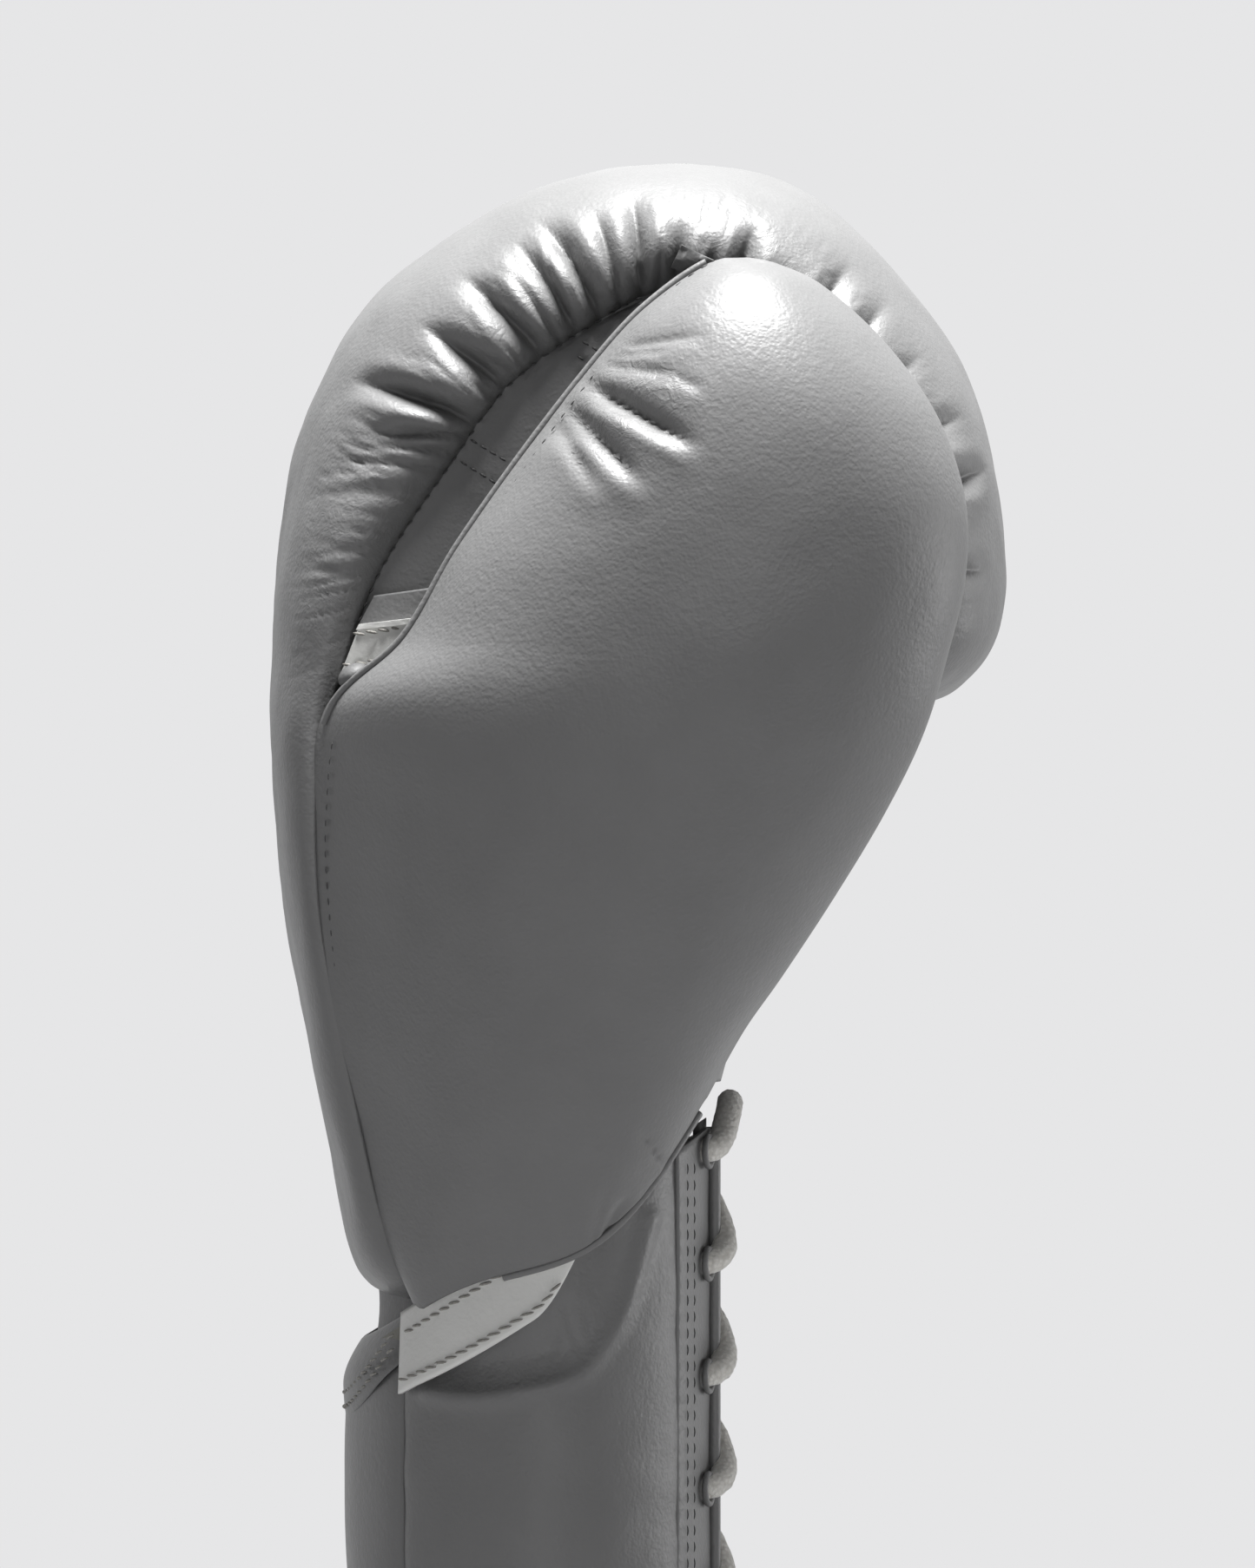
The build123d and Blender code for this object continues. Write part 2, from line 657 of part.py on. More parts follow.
def strand(side):
    """Half of the lace: from the middle of the top bar, criss-cross down through the holes, to the knot."""
    share = strand_shares[side]
    top = row_heights[-1]
    points = [(edge_x, 0, top), (edge_x, side * slit_width / 2, top)]
    for z in reversed(row_heights):
        points += [(outside_x, side * hole_y, z), (inside_x, side * hole_y, z)]
        if z != row_heights[0]:
            below = z - lace_pitch
            points += [
                (inside_x, side * (facing_y + 1), z - 3),
                (middle_x, 0, below + share * lace_pitch),
                (edge_x, -side * facing_y, below + 4),
            ]
            side = -side
    points += [
        (inside_x, side * bead_radius * 3.5, row_heights[0] - 2),
        (cuff_a + 1, side * exit_y, hem_height - 1),
        (knot_center[0], side * exit_y, hem_height - 1.5),
    ]
    return points


knot_room = 0.2
with BuildPart() as knot_keepout:
    with Locations(knot_center):
        Sphere(knot_radius + knot_room)
halves = [cord(strand(side), lace_radius) for side in (-1, 1)]
with BuildPart() as lace:
    for half, length, tightest in halves:
        add(half)
        print("lace half: length", round(length, 1), "tightest arc", round(tightest, 1))
    add(knot_keepout.part, mode=Mode.SUBTRACT)
save(lace, "lace")

with BuildPart() as lace_knot:
    with Locations(knot_center):
        Sphere(knot_radius)
save(lace_knot, "lace_knot")

for name, points in tails.items():
    tail, length, tightest = cord(points, lace_radius)
    print("lace tail:", name, "length", round(length, 1), "tightest arc", round(tightest, 1))
    with BuildPart() as lace_tail:
        add(tail)
        add(knot_keepout.part, mode=Mode.SUBTRACT)
    save(lace_tail, f"{name}_lace_tail")
    tail_end, before_end = Vector(*points[-1]), Vector(*points[-2])
    aglet_plane = Plane(origin=tail_end, z_dir=tail_end - before_end)
    with BuildPart() as aglet:
        add(bore(aglet_plane, aglet_radius, 0, aglet_length))
    save(aglet, f"{name}_aglet")
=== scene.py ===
# %% [markdown]
# # A lace-up boxing glove in plain grey leather
#
# The glove stands on its cuff. Three bodies move: the cuff, the mitt that bends at the wrist, and the thumb
# that gives a little away from the fist. Soft leather over foam is nearly all that shows, so most pieces are
# grids of points laid out by a formula, as a pattern cutter would lay them out, and then pressed and puffed.
# Lengths are in millimetres in this file, and are divided by 1000 into Blender's metres where they are used.

# %% Load the frame
import json
from math import atan2, cos, degrees, exp, hypot, pi, radians, sin, sqrt

import bpy
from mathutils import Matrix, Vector, noise


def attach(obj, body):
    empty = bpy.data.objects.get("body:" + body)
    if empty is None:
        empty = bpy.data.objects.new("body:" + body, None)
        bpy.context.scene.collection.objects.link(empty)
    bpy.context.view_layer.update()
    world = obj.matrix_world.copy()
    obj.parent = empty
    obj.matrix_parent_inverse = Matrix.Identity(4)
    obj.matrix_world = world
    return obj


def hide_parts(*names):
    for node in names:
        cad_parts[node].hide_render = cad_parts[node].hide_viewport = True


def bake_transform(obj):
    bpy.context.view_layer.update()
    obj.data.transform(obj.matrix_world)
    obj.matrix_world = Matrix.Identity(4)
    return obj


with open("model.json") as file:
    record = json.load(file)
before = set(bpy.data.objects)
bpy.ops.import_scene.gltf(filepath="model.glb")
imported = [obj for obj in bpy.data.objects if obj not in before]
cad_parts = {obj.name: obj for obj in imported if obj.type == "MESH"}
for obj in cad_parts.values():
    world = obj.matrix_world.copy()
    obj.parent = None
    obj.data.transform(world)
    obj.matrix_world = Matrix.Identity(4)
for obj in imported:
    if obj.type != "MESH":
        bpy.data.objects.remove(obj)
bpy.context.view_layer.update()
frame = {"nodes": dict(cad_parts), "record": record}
nodes = frame["nodes"]
bpy.ops.object.select_all(action="DESELECT")
print("parts loaded:", len(nodes))

# %% [markdown]
# ## The camera
# A long lens far away, level with the middle of the fist, keeps the sides of the glove parallel, as a
# catalogue picture does.

# %% Camera
VIEW_X, VIEW_Z, VIEW_HEIGHT = 20.1, 207.7, 322.5
CAMERA_AWAY = 6000.0
THUMB_PLANE = -60.0                      # the depth at which the picture's height is measured
SENSOR = 24.0

bpy.ops.object.camera_add(location=(VIEW_X / 1000, -CAMERA_AWAY / 1000, VIEW_Z / 1000),
                          rotation=(pi / 2, 0, 0))
camera = bpy.context.object
camera.name = "catalogue_camera"
camera.data.sensor_fit = "VERTICAL"
camera.data.sensor_height = SENSOR
camera.data.lens = SENSOR * (CAMERA_AWAY + THUMB_PLANE) / VIEW_HEIGHT
bpy.context.scene.camera = camera
print("lens", round(camera.data.lens, 1), "mm")

# %% [markdown]
# ## Finishes
# Each material is a few nodes. One function adds a node, sets its options and its sockets, and links a
# socket wherever the value given is another node's output.

# %% A function that adds a node, and one that reads a colour


def linear(hex_colour):
    """An sRGB hex colour as linear RGBA."""
    parts = [int(hex_colour[i:i + 2], 16) / 255 for i in (1, 3, 5)]
    return [c / 12.92 if c <= 0.04045 else ((c + 0.055) / 1.055) ** 2.4 for c in parts] + [1.0]


def add_node(tree, kind, sockets=None, **options):
    """Add a node with its options, and set or link its sockets."""
    made = tree.nodes.new(kind)
    for option, value in options.items():
        setattr(made, option, value)
    for socket, value in (sockets or {}).items():
        if isinstance(value, bpy.types.NodeSocket):
            tree.links.new(value, made.inputs[socket])
        else:
            made.inputs[socket].default_value = value
    return made


def new_material(name):
    """An empty node material."""
    material = bpy.data.materials.new(name)
    material.use_nodes = True
    material.node_tree.nodes.clear()
    return material


def per_metre(millimetres):
    """The scale of a pattern whose repeat has that size."""
    return 1000.0 / millimetres


# %% [markdown]
# ### Leather
# Chrome-tanned cowhide, rolled smooth and finished with a thin satin coat: a broad soft shine, over a face
# that is lightly pebbled. The pebbles are about 0.75 mm across, the pores and creases between them 1.6 mm
# apart, and broad soft waves lie under them. Where the leather is gathered at a seam, fine wrinkles run:
# the pieces carry an attribute, gather, that says where.

# %% Leather


WRINKLE_DEPTH = 0.96


def leather(name, light, dark, roughness=0.42, grain=0.75, grain_depth=0.13):
    """Pebbles, pores and wrinkles as bumps, over a tone that wanders a little."""
    material = new_material(name)
    tree = material.node_tree
    place = add_node(tree, "ShaderNodeTexCoord").outputs["Object"]
    pebbles = add_node(tree, "ShaderNodeTexVoronoi", {"Vector": place, "Scale": per_metre(grain)},
                       feature="SMOOTH_F1")
    pores = add_node(tree, "ShaderNodeTexNoise", {"Vector": place, "Scale": per_metre(1.6), "Detail": 3.0})
    waves = add_node(tree, "ShaderNodeTexNoise", {"Vector": place, "Scale": per_metre(14.0), "Detail": 2.0})
    creases = add_node(tree, "ShaderNodeTexNoise", {"Vector": place, "Scale": per_metre(5.5),
                                                    "Detail": 6.0, "Roughness": 0.62, "Distortion": 1.3})
    folds = add_node(tree, "ShaderNodeMath", {0: creases.outputs["Fac"], 1: 0.5}, operation="SUBTRACT")
    valleys = add_node(tree, "ShaderNodeMath", {0: folds.outputs[0]}, operation="ABSOLUTE")
    gather = add_node(tree, "ShaderNodeAttribute", attribute_name="gather")
    wrinkles = add_node(tree, "ShaderNodeMath", {0: valleys.outputs[0], 1: gather.outputs["Fac"]},
                        operation="MULTIPLY")
    colour = add_node(tree, "ShaderNodeMix", {0: waves.outputs["Fac"], 6: linear(dark), 7: linear(light)},
                      data_type="RGBA")
    satin = add_node(tree, "ShaderNodeMapRange", {"Value": pores.outputs["Fac"], "To Min": roughness - 0.06,
                                                  "To Max": roughness + 0.08})
    bump = add_node(tree, "ShaderNodeBump", {"Height": pebbles.outputs["Distance"], "Strength": 0.55,
                                             "Distance": grain_depth / 1000})
    bump = add_node(tree, "ShaderNodeBump", {"Height": pores.outputs["Fac"], "Strength": 0.5,
                                             "Distance": 0.25 / 1000, "Normal": bump.outputs[0]})
    bump = add_node(tree, "ShaderNodeBump", {"Height": wrinkles.outputs[0], "Strength": 0.9,
                                             "Distance": WRINKLE_DEPTH / 1000, "Normal": bump.outputs[0]})
    shader = add_node(tree, "ShaderNodeBsdfPrincipled",
                      {"Base Color": colour.outputs[2], "Roughness": satin.outputs[0],
                       "Normal": bump.outputs[0], "IOR": 1.5, "Specular IOR Level": 0.45})
    add_node(tree, "ShaderNodeOutputMaterial", {"Surface": shader.outputs[0]})
    return material


grey_leather = leather("satin_grey_cowhide", "#777777", "#6e6e6e")
inner_leather = leather("matt_inner_cowhide", "#636363", "#5a5a5a", roughness=0.55)
dark_leather = leather("dark_edge_cowhide", "#3a3a3a", "#303030", roughness=0.6)
light_leather = leather("off_white_cowhide", "#ecece9", "#e3e3e0", roughness=0.45, grain_depth=0.06)
edge_leather = leather("folded_binding_leather", "#717171", "#686868", roughness=0.45, grain=0.5)

# %% [markdown]
# ### Cloth, cotton, thread, foam and plastic
# The lining is a dense dark plain weave, about 0.6 mm between threads, drawn at 0.9 mm so that it shows.
# The lace is soft spun cotton, braided of 1.1 mm strands, with a dull fuzzy face. The sewing thread is
# bonded nylon, twisted, with a slight shine. The pad is closed-cell foam, cut, so matt with fine cells, and
# the lace's tips are moulded acetate, which is smooth and clear-coated.

# %% Cloth and the other finishes


def woven(name, light, dark, thread=0.9, depth=0.12, roughness=0.9, fuzz=0.3):
    """Plain weave: two sets of threads that cross, from two waves at right angles; painted shade in the
    dips.
    """
    material = new_material(name)
    tree = material.node_tree
    place = add_node(tree, "ShaderNodeTexCoord").outputs["Object"]
    across = add_node(tree, "ShaderNodeTexWave", {"Vector": place, "Scale": per_metre(thread) / 6.28,
                                                  "Distortion": 0.4}, bands_direction="X")
    along = add_node(tree, "ShaderNodeTexWave", {"Vector": place, "Scale": per_metre(thread) / 6.28,
                                                 "Distortion": 0.4}, bands_direction="Z")
    weave = add_node(tree, "ShaderNodeMath", {0: across.outputs["Fac"], 1: along.outputs["Fac"]},
                     operation="MULTIPLY")
    # painted shade: the colour turns to the darker one where the weave's bump dips between the threads
    colour = add_node(tree, "ShaderNodeMix", {0: weave.outputs[0], 6: linear(dark), 7: linear(light)},
                      data_type="RGBA")
    bump = add_node(tree, "ShaderNodeBump", {"Height": weave.outputs[0], "Strength": 0.8,
                                             "Distance": depth / 1000})
    shader = add_node(tree, "ShaderNodeBsdfPrincipled",
                      {"Base Color": colour.outputs[2], "Roughness": roughness, "Normal": bump.outputs[0],
                       "Sheen Weight": fuzz})
    add_node(tree, "ShaderNodeOutputMaterial", {"Surface": shader.outputs[0]})
    return material


def spun(name, light, dark, strand=1.1, depth=0.35, roughness=0.95, fuzz=0.5):
    """Spun yarn: small plaited lumps with fluff over them, and painted shade in the gaps between the lumps.
    """
    material = new_material(name)
    tree = material.node_tree
    place = add_node(tree, "ShaderNodeTexCoord").outputs["Object"]
    plait = add_node(tree, "ShaderNodeTexVoronoi", {"Vector": place, "Scale": per_metre(strand)})
    fluff = add_node(tree, "ShaderNodeTexNoise", {"Vector": place, "Scale": per_metre(0.7), "Detail": 4.0})
    # painted shade: the colour turns to the darker one in the gaps between the plaited lumps, where the bump
    # sinks
    colour = add_node(tree, "ShaderNodeMix", {0: plait.outputs["Distance"], 6: linear(light),
                                              7: linear(dark)}, data_type="RGBA")
    bump = add_node(tree, "ShaderNodeBump", {"Height": plait.outputs["Distance"], "Strength": 0.7,
                                             "Distance": depth / 1000}, invert=True)
    bump = add_node(tree, "ShaderNodeBump", {"Height": fluff.outputs["Fac"], "Strength": 0.8,
                                             "Distance": depth / 1000, "Normal": bump.outputs[0]})
    shader = add_node(tree, "ShaderNodeBsdfPrincipled",
                      {"Base Color": colour.outputs[2], "Roughness": roughness, "Normal": bump.outputs[0],
                       "Sheen Weight": fuzz})
    add_node(tree, "ShaderNodeOutputMaterial", {"Surface": shader.outputs[0]})
    return material


def moulded(name, light, dark, speck, roughness, depth=0.05):
    """A material with fine specks: foam skin or plastic."""
    material = new_material(name)
    tree = material.node_tree
    place = add_node(tree, "ShaderNodeTexCoord").outputs["Object"]
    specks = add_node(tree, "ShaderNodeTexNoise", {"Vector": place, "Scale": per_metre(speck),
                                                   "Detail": 2.0})
    colour = add_node(tree, "ShaderNodeMix", {0: specks.outputs["Fac"], 6: linear(dark), 7: linear(light)},
                      data_type="RGBA")
    bump = add_node(tree, "ShaderNodeBump", {"Height": specks.outputs["Fac"], "Strength": 0.5,
                                             "Distance": depth / 1000})
    shader = add_node(tree, "ShaderNodeBsdfPrincipled",
                      {"Base Color": colour.outputs[2], "Roughness": roughness, "Normal": bump.outputs[0]})
    add_node(tree, "ShaderNodeOutputMaterial", {"Surface": shader.outputs[0]})
    return material


# The lining's second, darker colour is painted shade in the dips between its threads.
lining_cloth = woven("dark_lining_weave", "#474749", "#2e2e30")
# Each spun finish's second, darker colour is painted shade in the gaps between the yarn's lumps.
lace_cotton = spun("soft_cotton_lace", "#eeece7", "#c9c6bf")
NYLON = {"strand": 0.5, "depth": 0.08, "roughness": 0.6, "fuzz": 0.1}
dark_thread = spun("dark_nylon_thread", "#3c3c3c", "#262626", **NYLON)
pale_thread = spun("pale_nylon_thread", "#a2a09b", "#77756f", **NYLON)
seam_thread = spun("grey_nylon_thread", "#4e4e4e", "#3a3a3a", **NYLON)
pad_foam = moulded("closed_cell_foam", "#9c9b94", "#8d8c85", speck=0.8, roughness=0.95)
tip_plastic = moulded("acetate_lace_tip", "#dddcd8", "#d2d1cc", speck=2.0, roughness=0.22, depth=0.01)
print("materials:", len(bpy.data.materials))

# %% [markdown]
# ## The lace's free ends
# Two limp ends lie on the floor in loose curves from the knot at the foot of the slit. Each is one smooth
# curve through a given route, and ends in its stiff tip.

# %% Free ends of the lace
LACE_RADIUS = 2.6
LACE_TAILS = {
    "thumb_side": [(49, -4, 8.5), (58, -11, 5), (67, -21, 2.9), (74, -34, 2.9), (74, -49, 2.9),
                   (66, -62, 2.9), (54, -71, 2.9)],
    "pinky_side": [(49, 4, 8.5), (60, 8, 5), (72, 14, 2.9), (81, 25, 2.9), (83, 39, 2.9), (77, 52, 2.9)],
}


def soft_line(name, route, radius, material):
    """A round cord along one smooth spline whose control points are the route."""
    curve = bpy.data.curves.new(name, "CURVE")
    curve.dimensions = "3D"
    spline = curve.splines.new("NURBS")
    spline.points.add(len(route) - 1)
    for point, place in zip(spline.points, route):
        point.co = (*[v / 1000 for v in place], 1.0)
    spline.order_u = 3
    spline.use_endpoint_u = True
    spline.resolution_u = 12
    curve.bevel_depth = radius / 1000
    curve.bevel_resolution = 5
    curve.use_fill_caps = True
    curve.materials.append(material)
    made = bpy.data.objects.new(name, curve)
    bpy.context.scene.collection.objects.link(made)
    return made


def held_cord(name, route, radius, material):
    """A cord that the glove holds: a curve made into a mesh."""
    line = soft_line(name + "_line", route, radius, material)
    mesh = bpy.data.meshes.new_from_object(line.evaluated_get(bpy.context.evaluated_depsgraph_get()))
    made = bpy.data.objects.new(name, mesh)
    bpy.context.scene.collection.objects.link(made)
    bpy.data.objects.remove(line)
    if not mesh.materials:
        mesh.materials.append(material)
    return made


for side, route in LACE_TAILS.items():
    tail = soft_line(f"lace_end_{side}", route, LACE_RADIUS, lace_cotton)
    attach(tail, "cuff")
    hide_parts(f"{side}_lace_tail")
print("free ends:", len(LACE_TAILS))

# %% [markdown]
# ## Helpers for leather pieces
# A piece of leather is a grid: rows of points, each row as long as the others. One function makes the mesh,
# in metres. Presses push a line into the surface, as a gather in a seam does.

# %% Lines, grids and presses


def smooth(points, t):
    """The place t along a smooth line through the points, where t counts them from 0."""
    i = max(0, min(int(t), len(points) - 2))
    f = t - i
    a, b, c, d = points[max(i - 1, 0)], points[i], points[i + 1], points[min(i + 2, len(points) - 1)]
    return tuple(0.5 * (2 * q + (r - p) * f + (2 * p - 5 * q + 4 * r - s) * f * f
                        + (3 * q - p - 3 * r + s) * f ** 3) for p, q, r, s in zip(a, b, c, d))


def mix(a, b, share):
    return a + (b - a) * share


def ramp(value, low, high):
    """0 below low, 1 above high, and an even curve between."""
    share = max(0.0, min(1.0, (value - low) / (high - low)))
    return share * share * (3 - 2 * share)


def leather_grid(name, rows, material, ring=False, caps=False, gather=None):
    """A mesh from rows of points. ring joins each row's ends, and caps closes the first and the last row."""
    count = len(rows[0])
    points = [tuple(v / 1000 for v in point) for row in rows for point in row]
    steps = count if ring else count - 1
    faces = []
    for r in range(len(rows) - 1):
        low, high = r * count, (r + 1) * count
        faces += [(low + c, low + (c + 1) % count, high + (c + 1) % count, high + c) for c in range(steps)]
    if caps:
        for first, turn in ((0, -1), ((len(rows) - 1) * count, 1)):
            ends = [Vector(points[first + c]) for c in range(count)]
            points.append(tuple(sum(ends, Vector()) / count))
            middle = len(points) - 1
            for c in range(count):
                pair = (first + c, first + (c + 1) % count)
                faces.append((*(pair if turn > 0 else pair[::-1]), middle))
    mesh = bpy.data.meshes.new(name)
    mesh.from_pydata(points, [], faces)
    layer = mesh.attributes.new("gather", "FLOAT", "POINT")
    if gather:
        for r, row in enumerate(gather):
            for c, value in enumerate(row):
                layer.data[r * count + c].value = value
    mesh.materials.append(material)
    made = bpy.data.objects.new(name, mesh)
    bpy.context.scene.collection.objects.link(made)
    for face in mesh.polygons:
        face.use_smooth = True
    return made


def outwards(piece, centre):
    """Turn the faces over if most of them look at the centre."""
    middle = Vector(centre) / 1000
    votes = sum(1 if face.normal.dot(face.center - middle) > 0 else -1 for face in piece.data.polygons)
    if votes < 0:
        piece.data.flip_normals()


def skin(piece, thickness):
    """Give a sheet of leather its thickness, inwards."""
    bpy.ops.object.select_all(action="DESELECT")
    piece.select_set(True)
    bpy.context.view_layer.objects.active = piece
    solid = piece.modifiers.new("thickness", "SOLIDIFY")
    solid.thickness = thickness / 1000
    solid.offset = -1.0
    bpy.ops.object.modifier_apply(modifier=solid.name)
    piece.select_set(False)


def relief(rows, depth_at, ring=False):
    """Move each point along the surface's normal by depth_at(row, column, point), in millimetres."""
    moved = []
    for r, row in enumerate(rows):
        before, after = rows[max(r - 1, 0)], rows[min(r + 1, len(rows) - 1)]
        line = []
        for c, point in enumerate(row):
            left = row[c - 1] if ring or c else row[c]
            right = row[(c + 1) % len(row)] if ring or c < len(row) - 1 else row[c]
            normal = (Vector(after[c]) - Vector(before[c])).cross(Vector(right) - Vector(left))
            depth = depth_at(r, c, point)
            if normal.length > 1e-9 and depth:
                point = tuple(Vector(point) + normal.normalized() * depth)
            line.append(tuple(point))
        moved.append(line)
    return moved


def press(x, z, start, end, width, taper=(0.15, 0.55)):
    """How deep a valley from start to end is at a place, from 0 to 1: a sharp bottom and open sides."""
    dx, dz = end[0] - start[0], end[1] - start[1]
    length = hypot(dx, dz)
    along = ((x - start[0]) * dx + (z - start[1]) * dz) / length
    aside = abs((x - start[0]) * dz - (z - start[1]) * dx) / length
    share = along / length
    if share < -0.3 or share > 1.2 or aside > 6 * width:
        return 0.0
    fade = ramp(share, -0.12, taper[0]) * (1 - ramp(share, taper[1], 1.1))
    return exp(-aside / width) * fade


# %% [markdown]
# ### Stitches
# Every seam shows short thread lengths with a gap between. Each stitch is one small six-sided lozenge, and a
# row of them is one mesh.

# %% Stitches


def stitch_row(name, line, outward, material, pitch=3.4, length=2.5, radius=0.36, tilt=0.0, body="mitt"):
    """Stitches along a line of points. outward(point) is the way that the surface faces there."""
    points = [Vector(p) for p in line]
    lengths = [0.0]
    for a, b in zip(points, points[1:]):
        lengths.append(lengths[-1] + (b - a).length)
    vertices, faces = [], []
    count = int(lengths[-1] / pitch)
    k = 0
    for n in range(count):
        at = (n + 0.5) * pitch
        while k < len(points) - 2 and lengths[k + 1] < at:
            k += 1
        way = (points[k + 1] - points[k]).normalized()
        place = points[k] + way * (at - lengths[k])
        up = Vector(outward(place)).normalized()
        side = way.cross(up).normalized()
        lean = (way * cos(tilt) + side * sin(tilt)).normalized()
        across = lean.cross(up).normalized()
        first = len(vertices)
        for share, size in ((-0.5, 0.25), (-0.3, 0.9), (0.0, 1.0), (0.3, 0.9), (0.5, 0.25)):
            hump = up * (radius * (1.1 - 5.2 * share * share))
            for a in range(6):
                angle = a * pi / 3
                around = (across * cos(angle) + up * sin(angle)) * (radius * size)
                vertices.append((place + lean * (share * length) + hump + around) / 1000)
        for ring in range(4):
            for a in range(6):
                b = (a + 1) % 6
                faces.append((first + ring * 6 + a, first + ring * 6 + b, first + ring * 6 + 6 + b,
                              first + ring * 6 + 6 + a))
        faces.append(tuple(first + a for a in range(5, -1, -1)))
        faces.append(tuple(first + 24 + a for a in range(6)))
    mesh = bpy.data.meshes.new(name)
    mesh.from_pydata(vertices, [], faces)
    mesh.materials.append(material)
    made = bpy.data.objects.new(name, mesh)
    bpy.context.scene.collection.objects.link(made)
    for face in mesh.polygons:
        face.use_smooth = True
    if body:
        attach(made, body)
    return made


# %% [markdown]
# ## The neck
# The mitt and the cuff meet at a slanted plane through the wrist's hinge. Places just above the plane and
# just below it are found by moving it along its normal.

# %% Neck
HIDE = 1.4                               # the outer leather's thickness
NECK_Z = 121.0
NECK_SLOPE = radians(34)
NECK_RISE = sin(NECK_SLOPE) / cos(NECK_SLOPE)
MITT_Y = 3.0


def neck_height(x, shift=0.0):
    """Height of the neck's plane over x, moved along its normal by shift."""
    return NECK_Z + x * NECK_RISE + shift / cos(NECK_SLOPE)


def across_neck(piece):
    """Bake a piece's placement into its mesh."""
    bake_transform(piece)


# %% [markdown]
# ## The fist
# The knuckle pad is one long piece of leather from the wrist, up the back of the hand, over the knuckles and
# down to the fingertips. Stations along it pair a point on its crest with a point on its seam. Each section
# is a rounded square between the two seams, and the seams are drawn in, so the pad stands over them.

# %% Stations of the knuckle pad
CREST = [(-26, 101), (-33.5, 104.5), (-38, 113), (-43, 137), (-50.9, 181), (-53.8, 215), (-53.9, 232),
         (-52.5, 255), (-46, 286), (-30.4, 311), (0, 331), (27, 336.4), (56, 331), (80.4, 308), (93, 286),
         (98, 262), (97, 240), (90, 229), (80, 224.5), (68, 226), (58, 233)]
SEAM = [(-21, 104), (-24.5, 107), (-30, 117), (-35.5, 140), (-43.2, 180), (-43.5, 212), (-39.3, 228),
        (-31, 251), (-16, 274), (-4, 290), (12.5, 302), (27, 309), (42, 306), (56, 295), (66, 278),
        (70, 260), (68, 243), (64, 236), (62, 232), (60, 231), (57, 234)]
HALF_WIDTHS = [(half,) for half in (41, 44, 47, 51, 56, 60, 61.5, 62, 62, 62, 62, 62, 62, 62, 62, 61, 60, 58,
                                    56, 54, 52)]
PINCH = (0.8, 7.0)                       # how far the seam is drawn in, at the wrist and at the fist
SECTION_POWER = 2 / 2.7
FIST = (22.3, 258.0)            # the middle that the pleats point at


def pad_section(t, columns):
    """Points across the pad at the station t, from the thumb's side to the little finger's."""
    crest, seam, (half,) = smooth(CREST, t), smooth(SEAM, t), smooth(HALF_WIDTHS, t)
    row = []
    reach = hypot(crest[0] - seam[0], crest[1] - seam[1])
    for c in range(columns + 1):
        turn = pi * (0.5 - 0.5 * cos(pi * c / columns)) * 0.35 + pi * c / columns * 0.65
        out, up = cos(turn), max(0.0, sin(turn))
        rise = up ** SECTION_POWER
        drawn_in = min(mix(*PINCH, ramp(t, 4, 7)), reach * 0.5) * exp(-(rise * reach / 5.0) ** 1.3)
        y = MITT_Y - (half - drawn_in) * (1 if out > 0 else -1) * abs(out) ** SECTION_POWER
        row.append((mix(seam[0], crest[0], rise), y, mix(seam[1], crest[1], rise)))
    return row


# %% [markdown]
# ### Pleats
# The long pad has to turn a tight corner over the knuckles, so its edge is gathered into the flat side. Each
# pleat runs outwards from the seam: a sharp valley that fades, between two soft puffs. They are uneven, as
# hand-sewn gathers are, and the little finger's side has its own.

# %% Pleats of the knuckle pad
# angle at the seam, angle at the end, length, depth, width of the valley
PLEATS = [(144.2, 150.8, 34, 4.6, 1.7), (148.8, 159.2, 22, 3.6, 1.6), (154, 161.9, 21, 2.6, 1.5),
          (160.1, 165.7, 25, 1.6, 1.7), (166, 171, 22, 0.9, 2.0), (135.4, 136.9, 9, 1.6, 1.3),
          (130.9, 135.1, 25, 4.2, 1.7), (127, 130.5, 12, 1.4, 1.3), (123.3, 125.2, 11, 1.2, 1.3),
          (117.3, 123.6, 28, 4.6, 1.7), (111.4, 116, 22, 2.8, 1.6), (106.3, 112.2, 28, 4.4, 1.7),
          (99.4, 106.9, 30, 4.4, 1.8), (94, 97.6, 24, 3.0, 1.7), (89, 91.3, 27, 4.0, 1.7),
          (85, 86, 14, 1.8, 1.5), (81.5, 82.8, 17, 3.0, 1.6), (75.8, 75.4, 14, 2.6, 1.6),
          (70.1, 69.6, 20, 4.4, 1.8), (61.7, 62, 10, 1.4, 1.8), (50.7, 52.4, 28, 3.4, 1.8),
          (40.7, 44, 30, 2.0, 1.6), (31, 33, 28, 2.0, 1.6), (20, 21, 34, 2.2, 1.8), (9, 11.5, 42, 4.0, 1.8),
          (-6, -5, 36, 2.6, 1.6), (-18, -17, 18, 1.6, 1.6)]


def pinky_pleats():
    """The other side's pleats: the same kind, moved and scaled a little."""
    made = []
    for n, (low, high, length, depth, width) in enumerate(PLEATS):
        made.append((low + 2.4 * sin(2.1 * n), high + 2.4 * sin(2.1 * n + 0.6),
                     length * (1 + 0.15 * sin(3.7 * n)), depth * (0.95 + 0.2 * cos(1.3 * n)), width))
    return made


